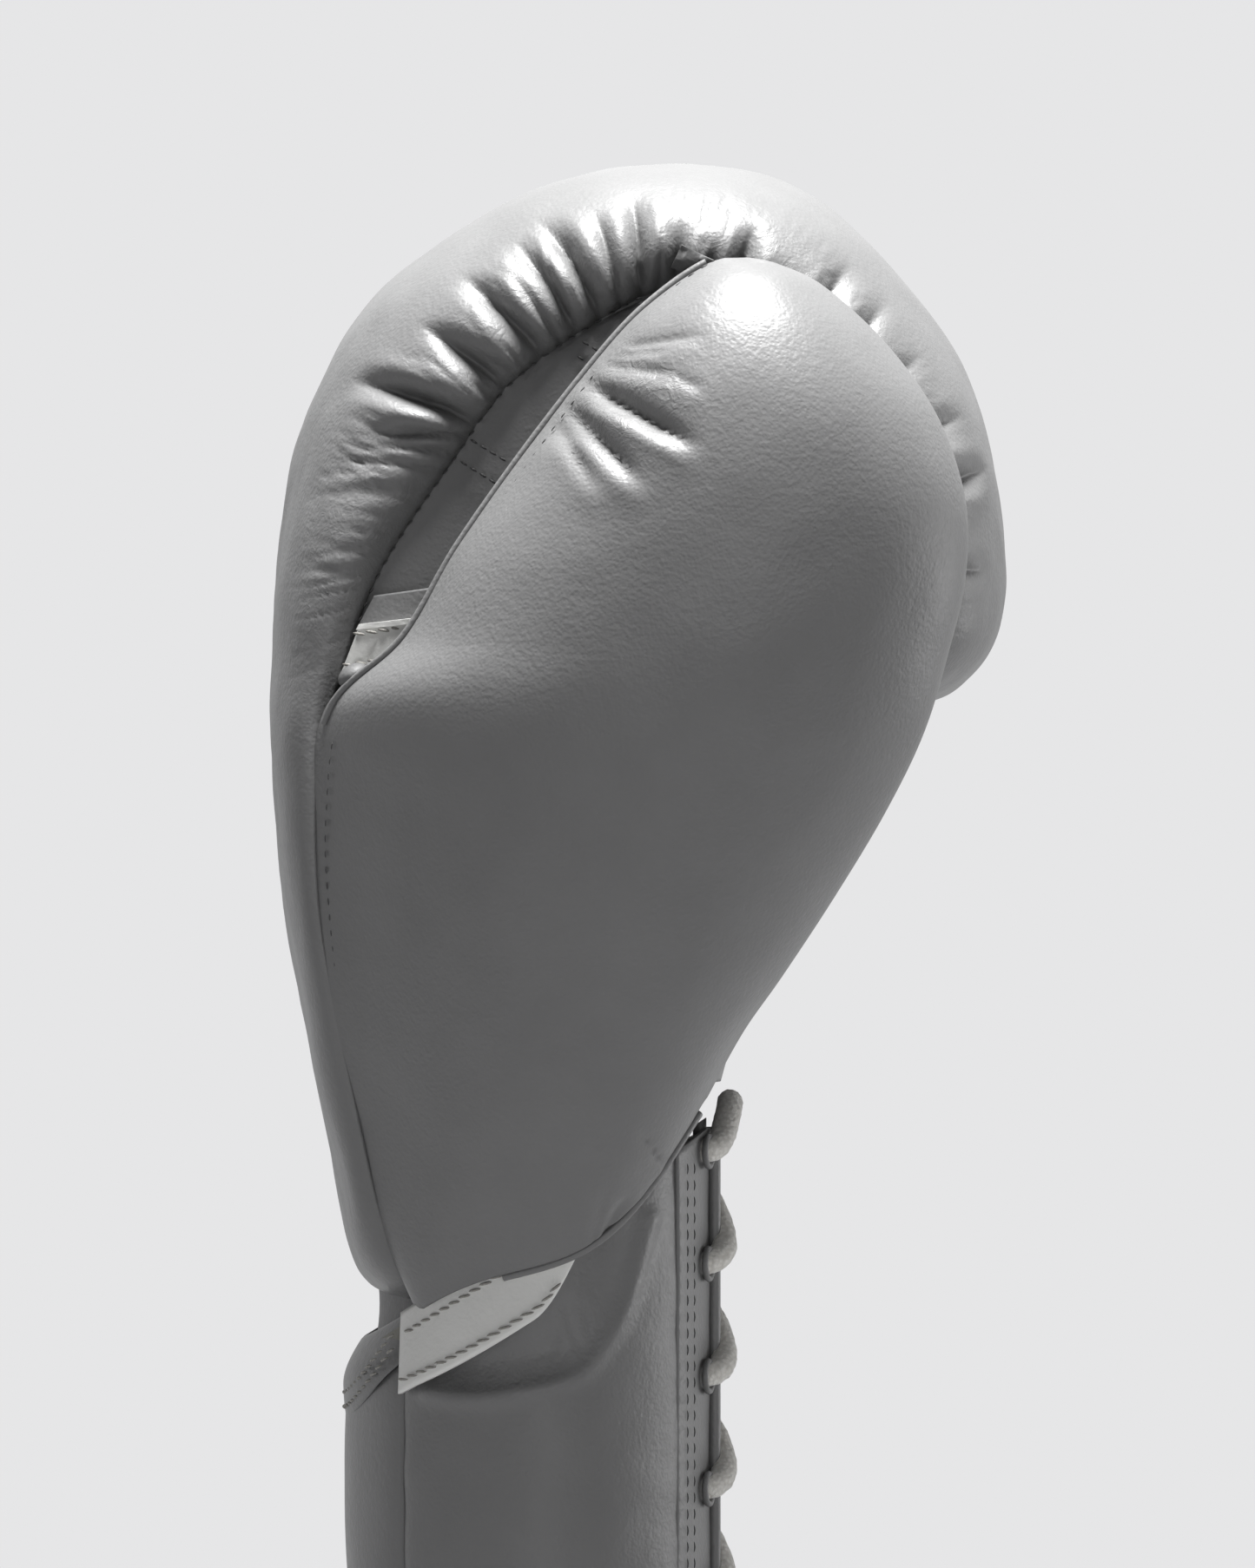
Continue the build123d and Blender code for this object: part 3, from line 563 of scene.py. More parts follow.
def pleat_depth(x, z, along, pleats):
    """How far the surface is pressed in (negative) or puffed out at a place, along mm from the seam."""
    reach = hypot(x - FIST[0], z - FIST[1])
    angle = degrees(atan2(z - FIST[1], x - FIST[0]))
    if angle < -60:
        angle += 360
    total = 0.0
    for low, high, length, depth, width in pleats:
        if along > length * 1.15 or abs(angle - low) > 24:
            continue
        middle = mix(low, high, along / length)
        aside = abs(radians(angle - middle) * reach)
        if aside > 12:
            continue
        open_up = width * (0.55 + 0.55 * along / length)
        fade = (1 - ramp(along, 0.35 * length, 1.12 * length)) * ramp(along, -1.5, 6)
        total -= 1.35 * depth * fade * exp(-aside / open_up)
        total += 0.3 * depth * fade * exp(-((aside - 2.6 * width) / (1.5 * width)) ** 2)
    # between the pleats, fine creases that run the same way, in patches
    fold = noise.noise(Vector((angle * 0.42, along * 0.05, 5.0)))
    patch = max(0.0, noise.noise(Vector((angle * 0.07, along * 0.06, 9.0))) + 0.35)
    near_seam = ramp(along, 1, 5) * (1 - ramp(along, 16, 34)) * ramp(z, 222, 256)
    return total - 0.8 * patch * near_seam * max(0.0, 1 - abs(fold) * 6.5)


# %% The knuckle pad


def pad_rows(columns):
    """Rows along the pad: wide apart on the back of the hand, close together where it is gathered."""
    steps = [n * 5.5 / 60 for n in range(60)] + [5.5 + n * 14.5 / 560 for n in range(561)]
    return [pad_section(min(t, 20 - 1e-6), columns) for t in steps]


def make_knuckle_pad(columns=84):
    """Lay out the pad, press the pleats in, and give it its thickness."""
    rows = pad_rows(columns)
    sides = {"thumb": PLEATS, "pinky": pinky_pleats()}
    run, depths, gather = [], [], []
    for row in rows:
        lengths = [0.0]
        for a, b in zip(row, row[1:]):
            lengths.append(lengths[-1] + (Vector(b) - Vector(a)).length)
        run.append(lengths)
    for row, lengths in zip(rows, run):
        line, near = [], []
        for point, length in zip(row, lengths):
            thumb_side = length < lengths[-1] / 2
            along = length if thumb_side else lengths[-1] - length
            depth = pleat_depth(point[0], point[2], along, sides["thumb" if thumb_side else "pinky"])
            swell = noise.noise(Vector(point) * 0.035) * 0.9 + noise.noise(Vector(point) * 0.11) * 0.25
            line.append(depth + swell * ramp(along, 0, 12))
            in_fist = ramp(point[2], 205, 245)
            near.append(in_fist * (1 - ramp(along, 8, 38)) * 0.5 + 0.03)
        depths.append(line)
        gather.append(near)
    rows = relief(rows, lambda r, c, p: depths[r][c])
    pad = leather_grid("knuckle_pad_leather", rows, grey_leather, gather=gather)
    outwards(pad, (FIST[0], MITT_Y, 220))
    skin(pad, HIDE)
    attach(pad, "mitt")
    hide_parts("knuckle_shell", "knuckle_pad_outer", "knuckle_pad_middle", "knuckle_pad_inner",
                "back_of_hand_pad")
    print("knuckle pad:", len(pad.data.polygons), "faces")


make_knuckle_pad()

# %% [markdown]
# ## The flat sides of the mitt
# The sides are flat leather between the pad's seam and the palm. Each row of the grid runs from the seam at
# the back to the palm's corner, or to the seam in front, higher up.

# %% Flat sides
PALM_LINE = [(28, 146), (33, 165), (36.5, 185), (39, 205), (41, 220), (46, 229)]
BACK_SEAM = SEAM[:12]
FRONT_SEAM = PALM_LINE + [(58, 233)] + SEAM[17:10:-1]


def seam_y(z):
    """Distance from the middle of the mitt to its flat side at a height."""
    return mix(37.5, 55.0, ramp(z, 88, 215))


def side_rows(sign, along=120, across=50):
    """Rows of one flat side, tucked in at the neck. The thumb's side has the sign -1."""
    rows = []
    for r in range(along + 1):
        share = r / along
        share = share + 0.06 * sin(pi * share)
        back = smooth(BACK_SEAM, min(share, 1) * (len(BACK_SEAM) - 1))
        front = smooth(FRONT_SEAM, min(share, 1) * (len(FRONT_SEAM) - 1))
        row = []
        for c in range(across + 1):
            f = -0.03 + 1.05 * c / across
            x, z = mix(back[0], front[0], f), mix(back[1], front[1], f)
            puff = 3.2 * max(0.0, sin(pi * f)) * ramp(share, 0.0, 0.2) * (1 - ramp(share, 0.85, 1.0))
            edge = 0.6 * (exp(-abs(f) * 14) + exp(-abs(1 - f) * 14))
            tuck = 5.0 * (1 - ramp(share, 0.0, 0.05)) * ramp(f, 0.05, 0.3)
            row.append((x, MITT_Y + sign * (seam_y(z) - edge - tuck + puff), z))
        rows.append(row)
    return rows


for side, sign in (("thumb_side", -1), ("pinky_side", 1)):
    panel = leather_grid(f"{side}_flat_leather", side_rows(sign), grey_leather)
    outwards(panel, (FIST[0], MITT_Y, 220))
    skin(panel, HIDE)
    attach(panel, "mitt")
    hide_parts(f"{side}_panel", f"{side}_pad")


def side_place(x, z, sign=-1, lift=0.0):
    """A point on the flat side, about half way up its puff."""
    return (x, MITT_Y + sign * (seam_y(z) + 1.92 + lift), z)


# %% [markdown]
# ## The palm
# A smooth panel that wraps round both corners of the mitt, from the neck up to the curled fingers.

# %% Palm


def palm_rows(along=60, across=60):
    """Rows across the palm, round from corner to corner."""
    rows = []
    for r in range(along + 1):
        share = r / along
        x, z = smooth(PALM_LINE, share * (len(PALM_LINE) - 1))
        half = seam_y(z) - 1.5
        row = []
        for c in range(across + 1):
            turn = pi * c / across
            out = cos(turn)
            y = MITT_Y - half * (1 if out > 0 else -1) * abs(out) ** 0.85
            row.append((x + 11.5 * sin(turn) ** 0.8 if 0 < c < across else x, y, z))
        rows.append(row)
    return rows


palm = leather_grid("palm_leather", palm_rows(), grey_leather)
outwards(palm, (FIST[0] - 20, MITT_Y, 190))
skin(palm, HIDE)
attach(palm, "mitt")
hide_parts("palm_panel", "palm_pad")

# %% [markdown]
# ### The end of the fingers
# A narrow sheet closes the mitt between the knuckle pad's end and the palm. It runs from the pad's end up
# into the curled fingers, a little inside the flat sides.

# %% The fingers' side
finger_line = [(57.6, 233.6), (52, 240), (45, 246.5), (36, 252)]
finger_rows = [[(x, MITT_Y + 50.5 * (c / 20 - 1), z) for c in range(41)]
               for x, z in (smooth(finger_line, r / 5) for r in range(16))]
fingers = leather_grid("finger_side_leather", finger_rows, grey_leather)
outwards(fingers, (FIST[0], MITT_Y, 290))
skin(fingers, HIDE)
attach(fingers, "mitt")
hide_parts("finger_panel")

# %% [markdown]
# ## The thumb
# The thumb's outer leather is one large piece from the wrist's hem to the tip. Stations pair a point on its
# left edge with one on its right, and give the depth of both edges, of its crest and of its back.

# %% Stations of the thumb
# left edge x, z; right edge x, z; left edge y, right edge y, crest y, depth behind
THUMB = [
    (-23.5, 99, 36.6, 143, -40.0, -36, -56, 2), (-32.2, 120, 44, 156.5, -42.4, -41, -66, 2),
    (-39.8, 150, 52, 168, -47.8, -45, -77, 3), (-44.4, 180, 62.5, 184, -51.4, -50, -86, 6),
    (-45.4, 202, 73, 201.5, -53.4, -55, -92, 7), (-42.0, 223.5, 81, 218, -55.8, -59, -97, 6),
    (-27.2, 237.5, 86.2, 235, -60.5, -61, -99.5, 4), (-16.1, 256, 89.6, 250, -61.5, -62, -100.5, 2.5),
    (-3, 274.5, 89.6, 266, -62, -62, -100, 2), (9.5, 290.5, 84, 283, -62.5, -62.5, -97, 2),
    (20, 302.5, 73.5, 298, -63, -63, -91, 1.6), (29, 310, 60.5, 310, -63.5, -63.5, -83, 1.4),
    (36, 314.4, 51, 314.6, -64.5, -64.5, -75, 1.0), (40, 315.8, 45, 315.9, -65.5, -65.5, -69, 0.6),
]
GATHERS = [((12.8, 289.3), (34.5, 276.5), 4.2, 1.8), ((8.2, 284.3), (23.5, 268.5), 3.4, 1.9),
           ((5.5, 281.5), (14.5, 267), 1.9, 1.7), ((16, 293.5), (31, 291.5), 1.5, 1.3),
           ((20, 297.5), (36, 299.5), 1.0, 1.1), ((18, 295.5), (30, 296), 0.8, 1.0),
           ((30, 291), (36, 288), 0.7, 1.0),
           ((15.3, 114.5), (20.5, 123.5), 1.4, 1.2), ((13, 113), (16, 126), 0.7, 1.0),
           ((27, 130), (22, 137), 0.8, 1.2)]


def hem_sag(u):
    """How low the thumb's hem hangs under the line between its two ends."""
    return -12.0 * sin(pi * u ** 1.5) ** 1.2


def thumb_place(v, u, behind=False):
    """A point on the thumb: v from the hem to the tip, u from its left edge to its right one."""
    lx, lz, rx, rz, ly, ry, crest, back = smooth(THUMB, v * (len(THUMB) - 1))
    w = 2 * u - 1
    sag = hem_sag(u) * (1 - ramp(v, 0.0, 0.3))
    x, z, edge = mix(lx, rx, u), mix(lz, rz, u) + sag, mix(ly, ry, u)
    round_off = max(0.0, 1 - abs(w) ** 2.3)
    if behind:
        return (x, edge + back * (1 - w * w), z)
    power = 0.62 + 0.9 * ramp(v, 0.02, 0.14) * (1 - ramp(v, 0.22, 0.45)) * max(0.0, -w)
    return (x, edge - (edge - crest) * round_off ** power, z)


def thumb_relief(x, z):
    """How far the gathers at the slot press the thumb's leather in."""
    total = 0.0
    for start, end, depth, width in GATHERS:
        valley = press(x, z, start, end, width)
        total += depth * valley
        total -= 0.35 * depth * press(x, z + 2.6 * width, start, end, 1.6 * width)
    return total


def make_thumb(along=230, front=110, rear=34):
    """Lay out the thumb as closed rings, press the gathers in, and fold the hem."""
    rows, gather = [], []
    for r in range(along + 1):
        v = r / along * 0.9995
        line, near = [], []
        for c in range(front + 1):
            u = 0.5 - 0.5 * cos(pi * c / front)
            x, y, z = thumb_place(v, u)
            line.append((x, y, z))
            by_gathers = exp(-(hypot(x - 20, z - 286) / 13) ** 2)
            near.append(min(1.0, by_gathers + 0.05))
        for c in range(1, rear):
            u = 0.5 + 0.5 * cos(pi * c / rear)
            line.append(thumb_place(v, u, behind=True))
            near.append(0.0)
        rows.append(line)
        gather.append(near)

    def depth_at(r, c, point):
        if c > front:
            return 0.0
        x, _, z = point
        swell = 0.8 * noise.noise(Vector(point) * 0.022) + 0.15 * noise.noise(Vector(point) * 0.09)
        edge = ramp(min(c, front - c), 0, 14)
        return thumb_relief(x, z) * ramp(min(c, front - c), 0, 3) - swell * edge

    rows = relief(rows, depth_at, ring=True)
    # the hem's folded edge turns in over a few rows
    fold = []
    middle = [sum(p[k] for p in rows[0]) / len(rows[0]) for k in range(3)]
    for inward, rise in ((0.10, 2.5), (0.05, 0.6), (0.015, -0.35)):
        fold.append([(mix(x, middle[0], inward), mix(y, middle[1], inward), z + rise)
                     for x, y, z in rows[0]])
    rows = fold + rows
    gather = [gather[0]] * 3 + gather
    thumb = leather_grid("thumb_outer_leather", rows, grey_leather, ring=True, caps=True, gather=gather)
    outwards(thumb, (20, -70, 210))
    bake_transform(thumb)
    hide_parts("thumb_outer_panel", "thumb_inner_panel", "thumb_pad", "thumb_base_pad")
    print("thumb:", len(thumb.data.polygons), "faces")


make_thumb()

# %% [markdown]
# ### The thumb's seams
# Fine stitches follow the left edge of the thumb: below the slot they hold it to the knuckle pad, and above
# it they close the thumb itself, beside a rolled edge. A second roll finishes the hem at the wrist.

# %% Piping and stitches of the thumb


def thumb_edge(low, high, inset, steps=120):
    """A line along the thumb, a share of its width in from its left edge."""
    return [thumb_place(mix(low, high, n / steps), inset) for n in range(steps + 1)]


def rolled_edge(name, line, radius, material, body, slot, start=None, end=None):
    """A thin rolled strip of leather along a line: it rides on a body, or stays where it is if a start is
    given.
    """
    made = held_cord(name, line, radius, material)
    if start:
        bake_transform(made)
    else:
        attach(made, body)
    return made


BLEND = {"start": (0.02, -0.07, 0.252), "end": (0.02, -0.07, 0.186)}
upper = thumb_edge(0.37, 0.93, 0.012, 44)
rolled_edge("thumb_rolled_edge", [(x - 0.4, y + 0.6, z + 0.3) for x, y, z in upper], 0.75, grey_leather,
            "thumb", "edge_binding", **BLEND)
hem_line = [thumb_place(0.0, mix(0.3, 0.97, n / 30)) for n in range(31)]
rolled_edge("thumb_hem_roll", [(x, y + 1.6, z - 0.9) for x, y, z in hem_line], 0.9, grey_leather, "mitt",
            "grey_leather")
for name, low, high, inset in (("thumb_seam_upper", 0.5, 0.95, 0.035),
                               ("thumb_seam_lower", 0.2, 0.37, 0.03)):
    line = thumb_edge(low, high, inset)
    row = stitch_row(name, line, lambda p: (-0.4, -0.9, 0.1), seam_thread, pitch=3.3, length=1.6,
                     radius=0.16, body=None)
    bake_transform(row)

# %% [markdown]
# ## Inside the slot between thumb and fist
# A strap of off-white leather ties the thumb to the mitt at the foot of the slot, beside a grey band with a
# cut edge, and a small knob of leather fills the crook. A dark tab shows behind the thumb's tip.

# %% Strap, band, knob and tab


def band(name, corners, thickness, material, bulge=1.5, steps=14):
    """A strip between four corners: near the fist low and high, near the thumb low and high."""
    fist_low, fist_high, thumb_low, thumb_high = [Vector(c) for c in corners]
    rows = []
    for r in range(steps + 1):
        a = fist_low.lerp(fist_high, r / steps)
        b = thumb_low.lerp(thumb_high, r / steps)
        rows.append([tuple(a.lerp(b, c / steps) + Vector((0, -bulge * sin(pi * c / steps), 0)))
                     for c in range(steps + 1)])
    made = leather_grid(name, rows, material)
    outwards(made, (FIST[0], 40, 235))
    skin(made, thickness)
    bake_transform(made)
    return made


strap = band("thumb_strap_leather",
             ((-39.5, -54, 229), (-35, -55, 240.5), (-12, -60, 229), (-12, -60, 242.5)),
             1.2, light_leather)
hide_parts("thumb_lock_strap")
band("slot_band", ((-35.5, -54.6, 240), (-32, -55, 246.5), (-6, -60, 243), (-6, -60, 250)),
     1.2, grey_leather)
band("slot_band_cut_edge",
     ((-35.8, -55.6, 239.4), (-35.2, -55.8, 240.6), (-10, -61, 242), (-10, -61, 243.4)),
     0.6, light_leather)
for name, low in (("strap_stitches_low", (-38.6, -56.2, 232.0)),
                  ("strap_stitches_high", (-36.4, -56.6, 238.4))):
    line = [(low[0] + 1.1 * n, low[1] - 0.12 * n, low[2] + 0.16 * n) for n in range(16)]
    row = stitch_row(name, line, lambda p: (0, -1, 0), pale_thread, pitch=2.6, length=2.5, radius=0.32,
                     tilt=0.3, body=None)
    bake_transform(row)

bpy.ops.object.select_all(action="DESELECT")
bpy.ops.mesh.primitive_uv_sphere_add(segments=28, ring_count=18, radius=0.0033, location=(0, 0, 0))
knob = bpy.context.object
knob.name = "slot_knob"
bpy.ops.object.mode_set(mode="EDIT")
bpy.ops.transform.resize(value=(1.05, 1.3, 0.72))
bpy.ops.transform.rotate(value=0.5, orient_axis="Y", center_override=(0, 0, 0))
bpy.ops.transform.translate(value=(-0.0362, -0.0585, 0.2300))
bpy.ops.object.mode_set(mode="OBJECT")
knob.data.materials.append(inner_leather)
bpy.ops.object.shade_smooth()
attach(knob, "mitt")
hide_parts("thumb_web")

bpy.ops.object.select_all(action="DESELECT")
bpy.ops.mesh.primitive_cube_add(size=1, location=(0, 0, 0))
tab = bpy.context.object
tab.name = "tip_tab"
bpy.ops.object.mode_set(mode="EDIT")
bpy.ops.transform.resize(value=(0.0075, 0.0016, 0.0052))
bpy.ops.mesh.subdivide(number_cuts=4)
bpy.ops.transform.rotate(value=-0.45, orient_axis="Y", center_override=(0, 0, 0))
bpy.ops.transform.translate(value=(0.0335, -0.0640, 0.3146))
bpy.ops.object.mode_set(mode="OBJECT")
for vertex in tab.data.vertices:
    vertex.co.y -= 0.0009 * sin((vertex.co.x * 1000 - 30) * 0.9) + 0.0005 * sin(vertex.co.z * 1400)
bevel = tab.modifiers.new("round", "BEVEL")
bevel.width = 0.0005
bevel.segments = 2
bevel.limit_method = "ANGLE"
bpy.ops.object.modifier_apply(modifier=bevel.name)
bpy.ops.object.shade_smooth()
tab.data.materials.append(dark_leather)
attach(tab, "thumb")
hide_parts("thumb_tip_tab")

# %% [markdown]
# ### Stitches on the fist
# Each pleat is caught by a stitch at the seam, and two double rows cross the flat side where the layers
# under it are joined.

# %% Stitches of the fist
seam_line = [(x, MITT_Y - seam_y(z) - 0.4, z) for x, z in
             (smooth(SEAM, 5.6 + n * 8.2 / 160) for n in range(161))]
stitch_row("pad_seam_stitches", seam_line, lambda p: (0, -1, 0), dark_thread, pitch=3.2, length=1.6,
           radius=0.2, tilt=0.2)
for name, start, end in (("crossing_stitches_a", (-12.5, 278.8), (-3, 273)),
                         ("crossing_stitches_b", (-14.5, 274.3), (-5.5, 268.6)),
                         ("crossing_stitches_c", (10.5, 299), (15.5, 296)),
                         ("crossing_stitches_d", (9.5, 296), (14, 293))):
    line = [side_place(mix(start[0], end[0], n / 20), mix(start[1], end[1], n / 20), lift=0.4)
            for n in range(21)]
    stitch_row(name, line, lambda p: (0, -1, 0), dark_thread, pitch=2.3, length=1.7, radius=0.28)

# %% [markdown]
# ## The cuff
# The cuff is an oval tube of padded leather panels. One function lays out a panel from its angles round the
# oval and its two ends, and puffs it between its seams.

# %% Oval panels
CUFF_A, CUFF_B = 37.0, 50.0


def oval(angle, height, out=0.0):
    """A point on the cuff at a polar angle in degrees, moved out from its leather."""
    a = radians(angle)
    reach = 1 / sqrt((cos(a) / CUFF_A) ** 2 + (sin(a) / CUFF_B) ** 2)
    normal = Vector((reach * cos(a) / CUFF_A ** 2, reach * sin(a) / CUFF_B ** 2, 0)).normalized()
    return (reach * cos(a) + normal.x * out, reach * sin(a) + normal.y * out, height)


def oval_panel(name, angles, low, high, material, puff=1.0, lift=0.0, thickness=1.2, columns=50,
               rows=70, extra=None, replaces=()):
    """A panel from one polar angle to another. low and high give its two ends from x."""
    lines = []
    for r in range(rows + 1):
        v = r / rows
        line = []
        for c in range(columns + 1):
            u = c / columns
            angle = mix(angles[0], angles[1], u)
            x = oval(angle, 0)[0]
            height = mix(low(x, u), high(x, u), v)
            edge = min(u, 1 - u) * columns
            out = lift + puff * (1 - exp(-edge / 2.2)) * (0.35 + 0.65 * sin(pi * v) ** 0.5)
            if extra:
                out += extra(angle, height, u, v)
            line.append(oval(angle, height, out))
        lines.append(line)
    made = leather_grid(name, lines, material)
    outwards(made, (0, 0, 60))
    skin(made, thickness)
    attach(made, "cuff")
    if replaces:
        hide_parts(*replaces)
    return made


# %% [markdown]
# ### Panels of the cuff
# The side panel bulges under the wrist trim, and a soft crease swings down across it from the slit to the
# back seam. The back panel and the raised yoke over it close the oval behind.

# %% Panels of the cuff
SEAM_ANGLE = 126.0
FACING_Y = 30.1
FACING_ANGLE = degrees(atan2(FACING_Y, CUFF_A * sqrt(1 - (FACING_Y / CUFF_B) ** 2)))
SLIT_ANGLE = 15.6
CREASE = [(24, 118), (20, 103), (16, 94), (9, 85.5), (-3, 82), (-13, 81), (-20, 82)]


def at_hem(x, u):
    """Lower end of the cuff's panels, inside the hem's binding."""
    return 1.8


def crease_out(angle, height, u, v):
    """How far the leather stands out: a raised soft fold along the crease, and a hollow above it."""
    x = oval(angle, 0)[0]
    best, above = 99.0, 0.0
    for n in range(61):
        cx, cz = smooth(CREASE, n / 10)
        away = hypot(x - cx, height - cz)
        if away < best:
            best, above = away, height - cz
    near = exp(-(best / 1.9) ** 2)
    hollow = ramp(above, 0, 8) * exp(-(best / 18) ** 2) * (1 - ramp(x, 12, 27))
    fine = 0.25 * noise.noise(Vector((x * 0.12, height * 0.12, angle * 0.02)))
    return 1.3 * near - 2.4 * hollow + fine


def wavy(angle, height, u, v):
    """The slow unevenness of leather over foam."""
    return 0.5 * noise.noise(Vector((angle * 0.03, height * 0.05, 3)))


def trim_drop(u):
    """How far the trim's lower edge hangs under its upper one: it tapers to nothing in front."""
    return mix(1.0, 15.0, ramp(u, 0.0, 0.35)) + 2.2 * sin(pi * u)


def trim_out(angle, height, u, v):
    """The trim's lower edge stands off the cuff, less so at the back seam."""
    return 1.8 * (1 - v) * ramp(u, 0.1, 0.4) * (1 - 0.6 * ramp(u, 0.85, 1.0))


def back_out(angle, height, u, v):
    """The back panel leans in under the yoke and towards the hem."""
    return wavy(angle, height, u, v) - 4 * ramp(height, 80, 96) - 1.6 * (1 - ramp(height, 20, 62))


def yoke_out(angle, height, u, v):
    """The yoke's upper edge dips into the neck."""
    return -5.0 * ramp(height, 83, 99)


def yoke_low(x, u):
    """Lower edge of the yoke: highest at the seams, lowest in the middle."""
    return 76 + 13.5 * abs(2 * u - 1) ** 2.6


for side, sign in (("thumb_side", -1), ("pinky_side", 1)):
    panel = oval_panel(f"{side}_cuff_leather", (sign * (FACING_ANGLE - 3), sign * SEAM_ANGLE), at_hem,
                       lambda x, u: neck_height(x, -6), grey_leather, puff=1.3,
                       extra=crease_out, columns=90, rows=110, replaces=(f"cuff_{side}_panel",))
    oval_panel(f"{side}_facing_leather", (sign * SLIT_ANGLE, sign * (FACING_ANGLE + 0.4)), at_hem,
               lambda x, u: neck_height(x, -7.5), grey_leather, puff=0.25, lift=1.1,
               columns=30, rows=90, extra=wavy, replaces=(f"{side}_lace_facing",))
    oval_panel(f"{side}_trim_leather", (sign * 70, sign * (SEAM_ANGLE - 1.5)),
               lambda x, u: neck_height(x, -6) - trim_drop(u), lambda x, u: neck_height(x, -4.5),
               light_leather, puff=0.5, lift=2.0, thickness=1.0, columns=60, rows=16,
               extra=trim_out, replaces=(f"{side}_wrist_trim",))
back = oval_panel("back_cuff_leather", (SEAM_ANGLE, 360 - SEAM_ANGLE), at_hem,
                  lambda x, u: neck_height(x, -9), grey_leather, puff=1.6, columns=70,
                  extra=back_out, replaces=("cuff_back_panel",))
oval_panel("back_yoke_leather", (SEAM_ANGLE + 0.6, 360 - SEAM_ANGLE - 0.6), yoke_low,
           lambda x, u: neck_height(x, -2.5), grey_leather, puff=1.4, lift=0.55,
           thickness=0.7, columns=60, rows=30, extra=yoke_out, replaces=("back_yoke",))
print("cuff panels made")

# %% [markdown]
# ### The gusset at the neck
# A soft sleeve joins the cuff to the mitt. It lies deeper than both, so it shows as a dark groove at the
# back.

# %% Gusset
gusset_rows = []
for r in range(13):
    v = r / 12
    line = []
    for c in range(120):
        angle = 3 * c + 0.01
        x, y, _ = oval(angle, 0, -4.2 - 1.4 * sin(pi * v))
        shift = mix(-9, 9, v)
        line.append((x, y + MITT_Y * v, neck_height(x, shift)))
    gusset_rows.append(line)
gusset = leather_grid("neck_gusset_leather", gusset_rows, inner_leather, ring=True)
outwards(gusset, (0, 0, NECK_Z))
skin(gusset, 0.8)
across_neck(gusset)
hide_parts("neck_gusset")

# %% [markdown]
# ### Stitches on the cuff
# Two fine dark rows hold each facing, and a roll of leather edges the slit beside it. Two rows of thick
# twisted thread hold the off-white trim, and two more follow the yoke's lower edge.

# %% Stitches of the cuff


def oval_line(angles, height_at, out, steps=90):
    """A line round the oval, with its height given by height_at(x, share along it)."""
    line = []
    for n in range(steps + 1):
        u = n / steps
        angle = mix(angles[0], angles[1], u)
        line.append(oval(angle, height_at(oval(angle, 0)[0], u), out))
    return line


def from_axis(point):
    """The way out of the oval at a point."""
    return (point.x / CUFF_A ** 2, point.y / CUFF_B ** 2, 0)


for side, sign in (("thumb_side", -1), ("pinky_side", 1)):
    for n, y in enumerate((28.6, 25.8)):
        angle = sign * degrees(atan2(y, CUFF_A * sqrt(1 - (y / CUFF_B) ** 2)))
        line = [oval(angle, mix(4, neck_height(oval(angle, 0)[0], -9), k / 40), 2.4) for k in range(41)]
        stitch_row(f"{side}_facing_stitches_{n}", line, from_axis, dark_thread, pitch=3.4, length=2.2,
                   radius=0.15, body="cuff")
    for n, (drop, out) in enumerate(((lambda u: 3.4, 2.9),
                                     (lambda u: trim_drop(mix(0.26, 0.97, u)) - 2.2, 4.4))):
        line = oval_line((sign * 84, sign * (SEAM_ANGLE - 3)),
                         lambda x, u: neck_height(x, -6) - drop(u), out)
        stitch_row(f"{side}_trim_stitches_{n}", line, from_axis, pale_thread, pitch=2.7, length=2.9,
                   radius=0.3, tilt=0.3, body="cuff")
    slit = [oval(sign * (SLIT_ANGLE + 1), mix(4, 133, k / 40), 2.0) for k in range(41)]
    rolled_edge(f"{side}_slit_roll", slit[::4], 1.3, grey_leather, "cuff", "edge_binding")
for n, drop in enumerate((2.4, 5.4)):
    line = oval_line((SEAM_ANGLE + 1.5, 360 - SEAM_ANGLE - 1.5), lambda x, u: yoke_low(x, u) + drop, 1.5)
    stitch_row(f"yoke_stitches_{n}", line, from_axis, pale_thread, pitch=2.9, length=2.7, radius=0.32,
               tilt=0.25, body="cuff")

# %% [markdown]
# ## The lace
# One cotton lace, held all the way: from its middle over the top of the slit it goes in and out of both rows
# of holes, and its two halves cross in front of the slit between one row and the next.

# %% Lace
LACE_PITCH = 23.3
LACE_ROWS = [15.1 + LACE_PITCH * n for n in range(6)]
STRAND_SHARES = {-1: 0.36, 1: 0.66}
LACE_TOP = LACE_ROWS[-1]


def lace_route(side):
    """The points of one half of the lace, from the top of the slit to the knot."""
    route = [(41.4, 0, LACE_TOP + 10), (41.2, side * 6, LACE_TOP + 8.5), (40.0, side * 12.5, LACE_TOP + 3)]
    for n, z in enumerate(reversed(LACE_ROWS)):
        route += [(37.9, side * 17.3, z), (27.07, side * 17.3, z)]
        if n < len(LACE_ROWS) - 1:
            below = z - LACE_PITCH
            share = STRAND_SHARES[side]
            route += [(27.07, side * 11.1, z - 3), (36.4, 0, below + share * LACE_PITCH),
                      (41.07, -side * 10.1, below + 4)]
            side = -side
    route += [(27.07, side * 4.9, 13.1), (38, side * 3.2, 9), (48.2, side * 3.2, 8.5)]
    return route


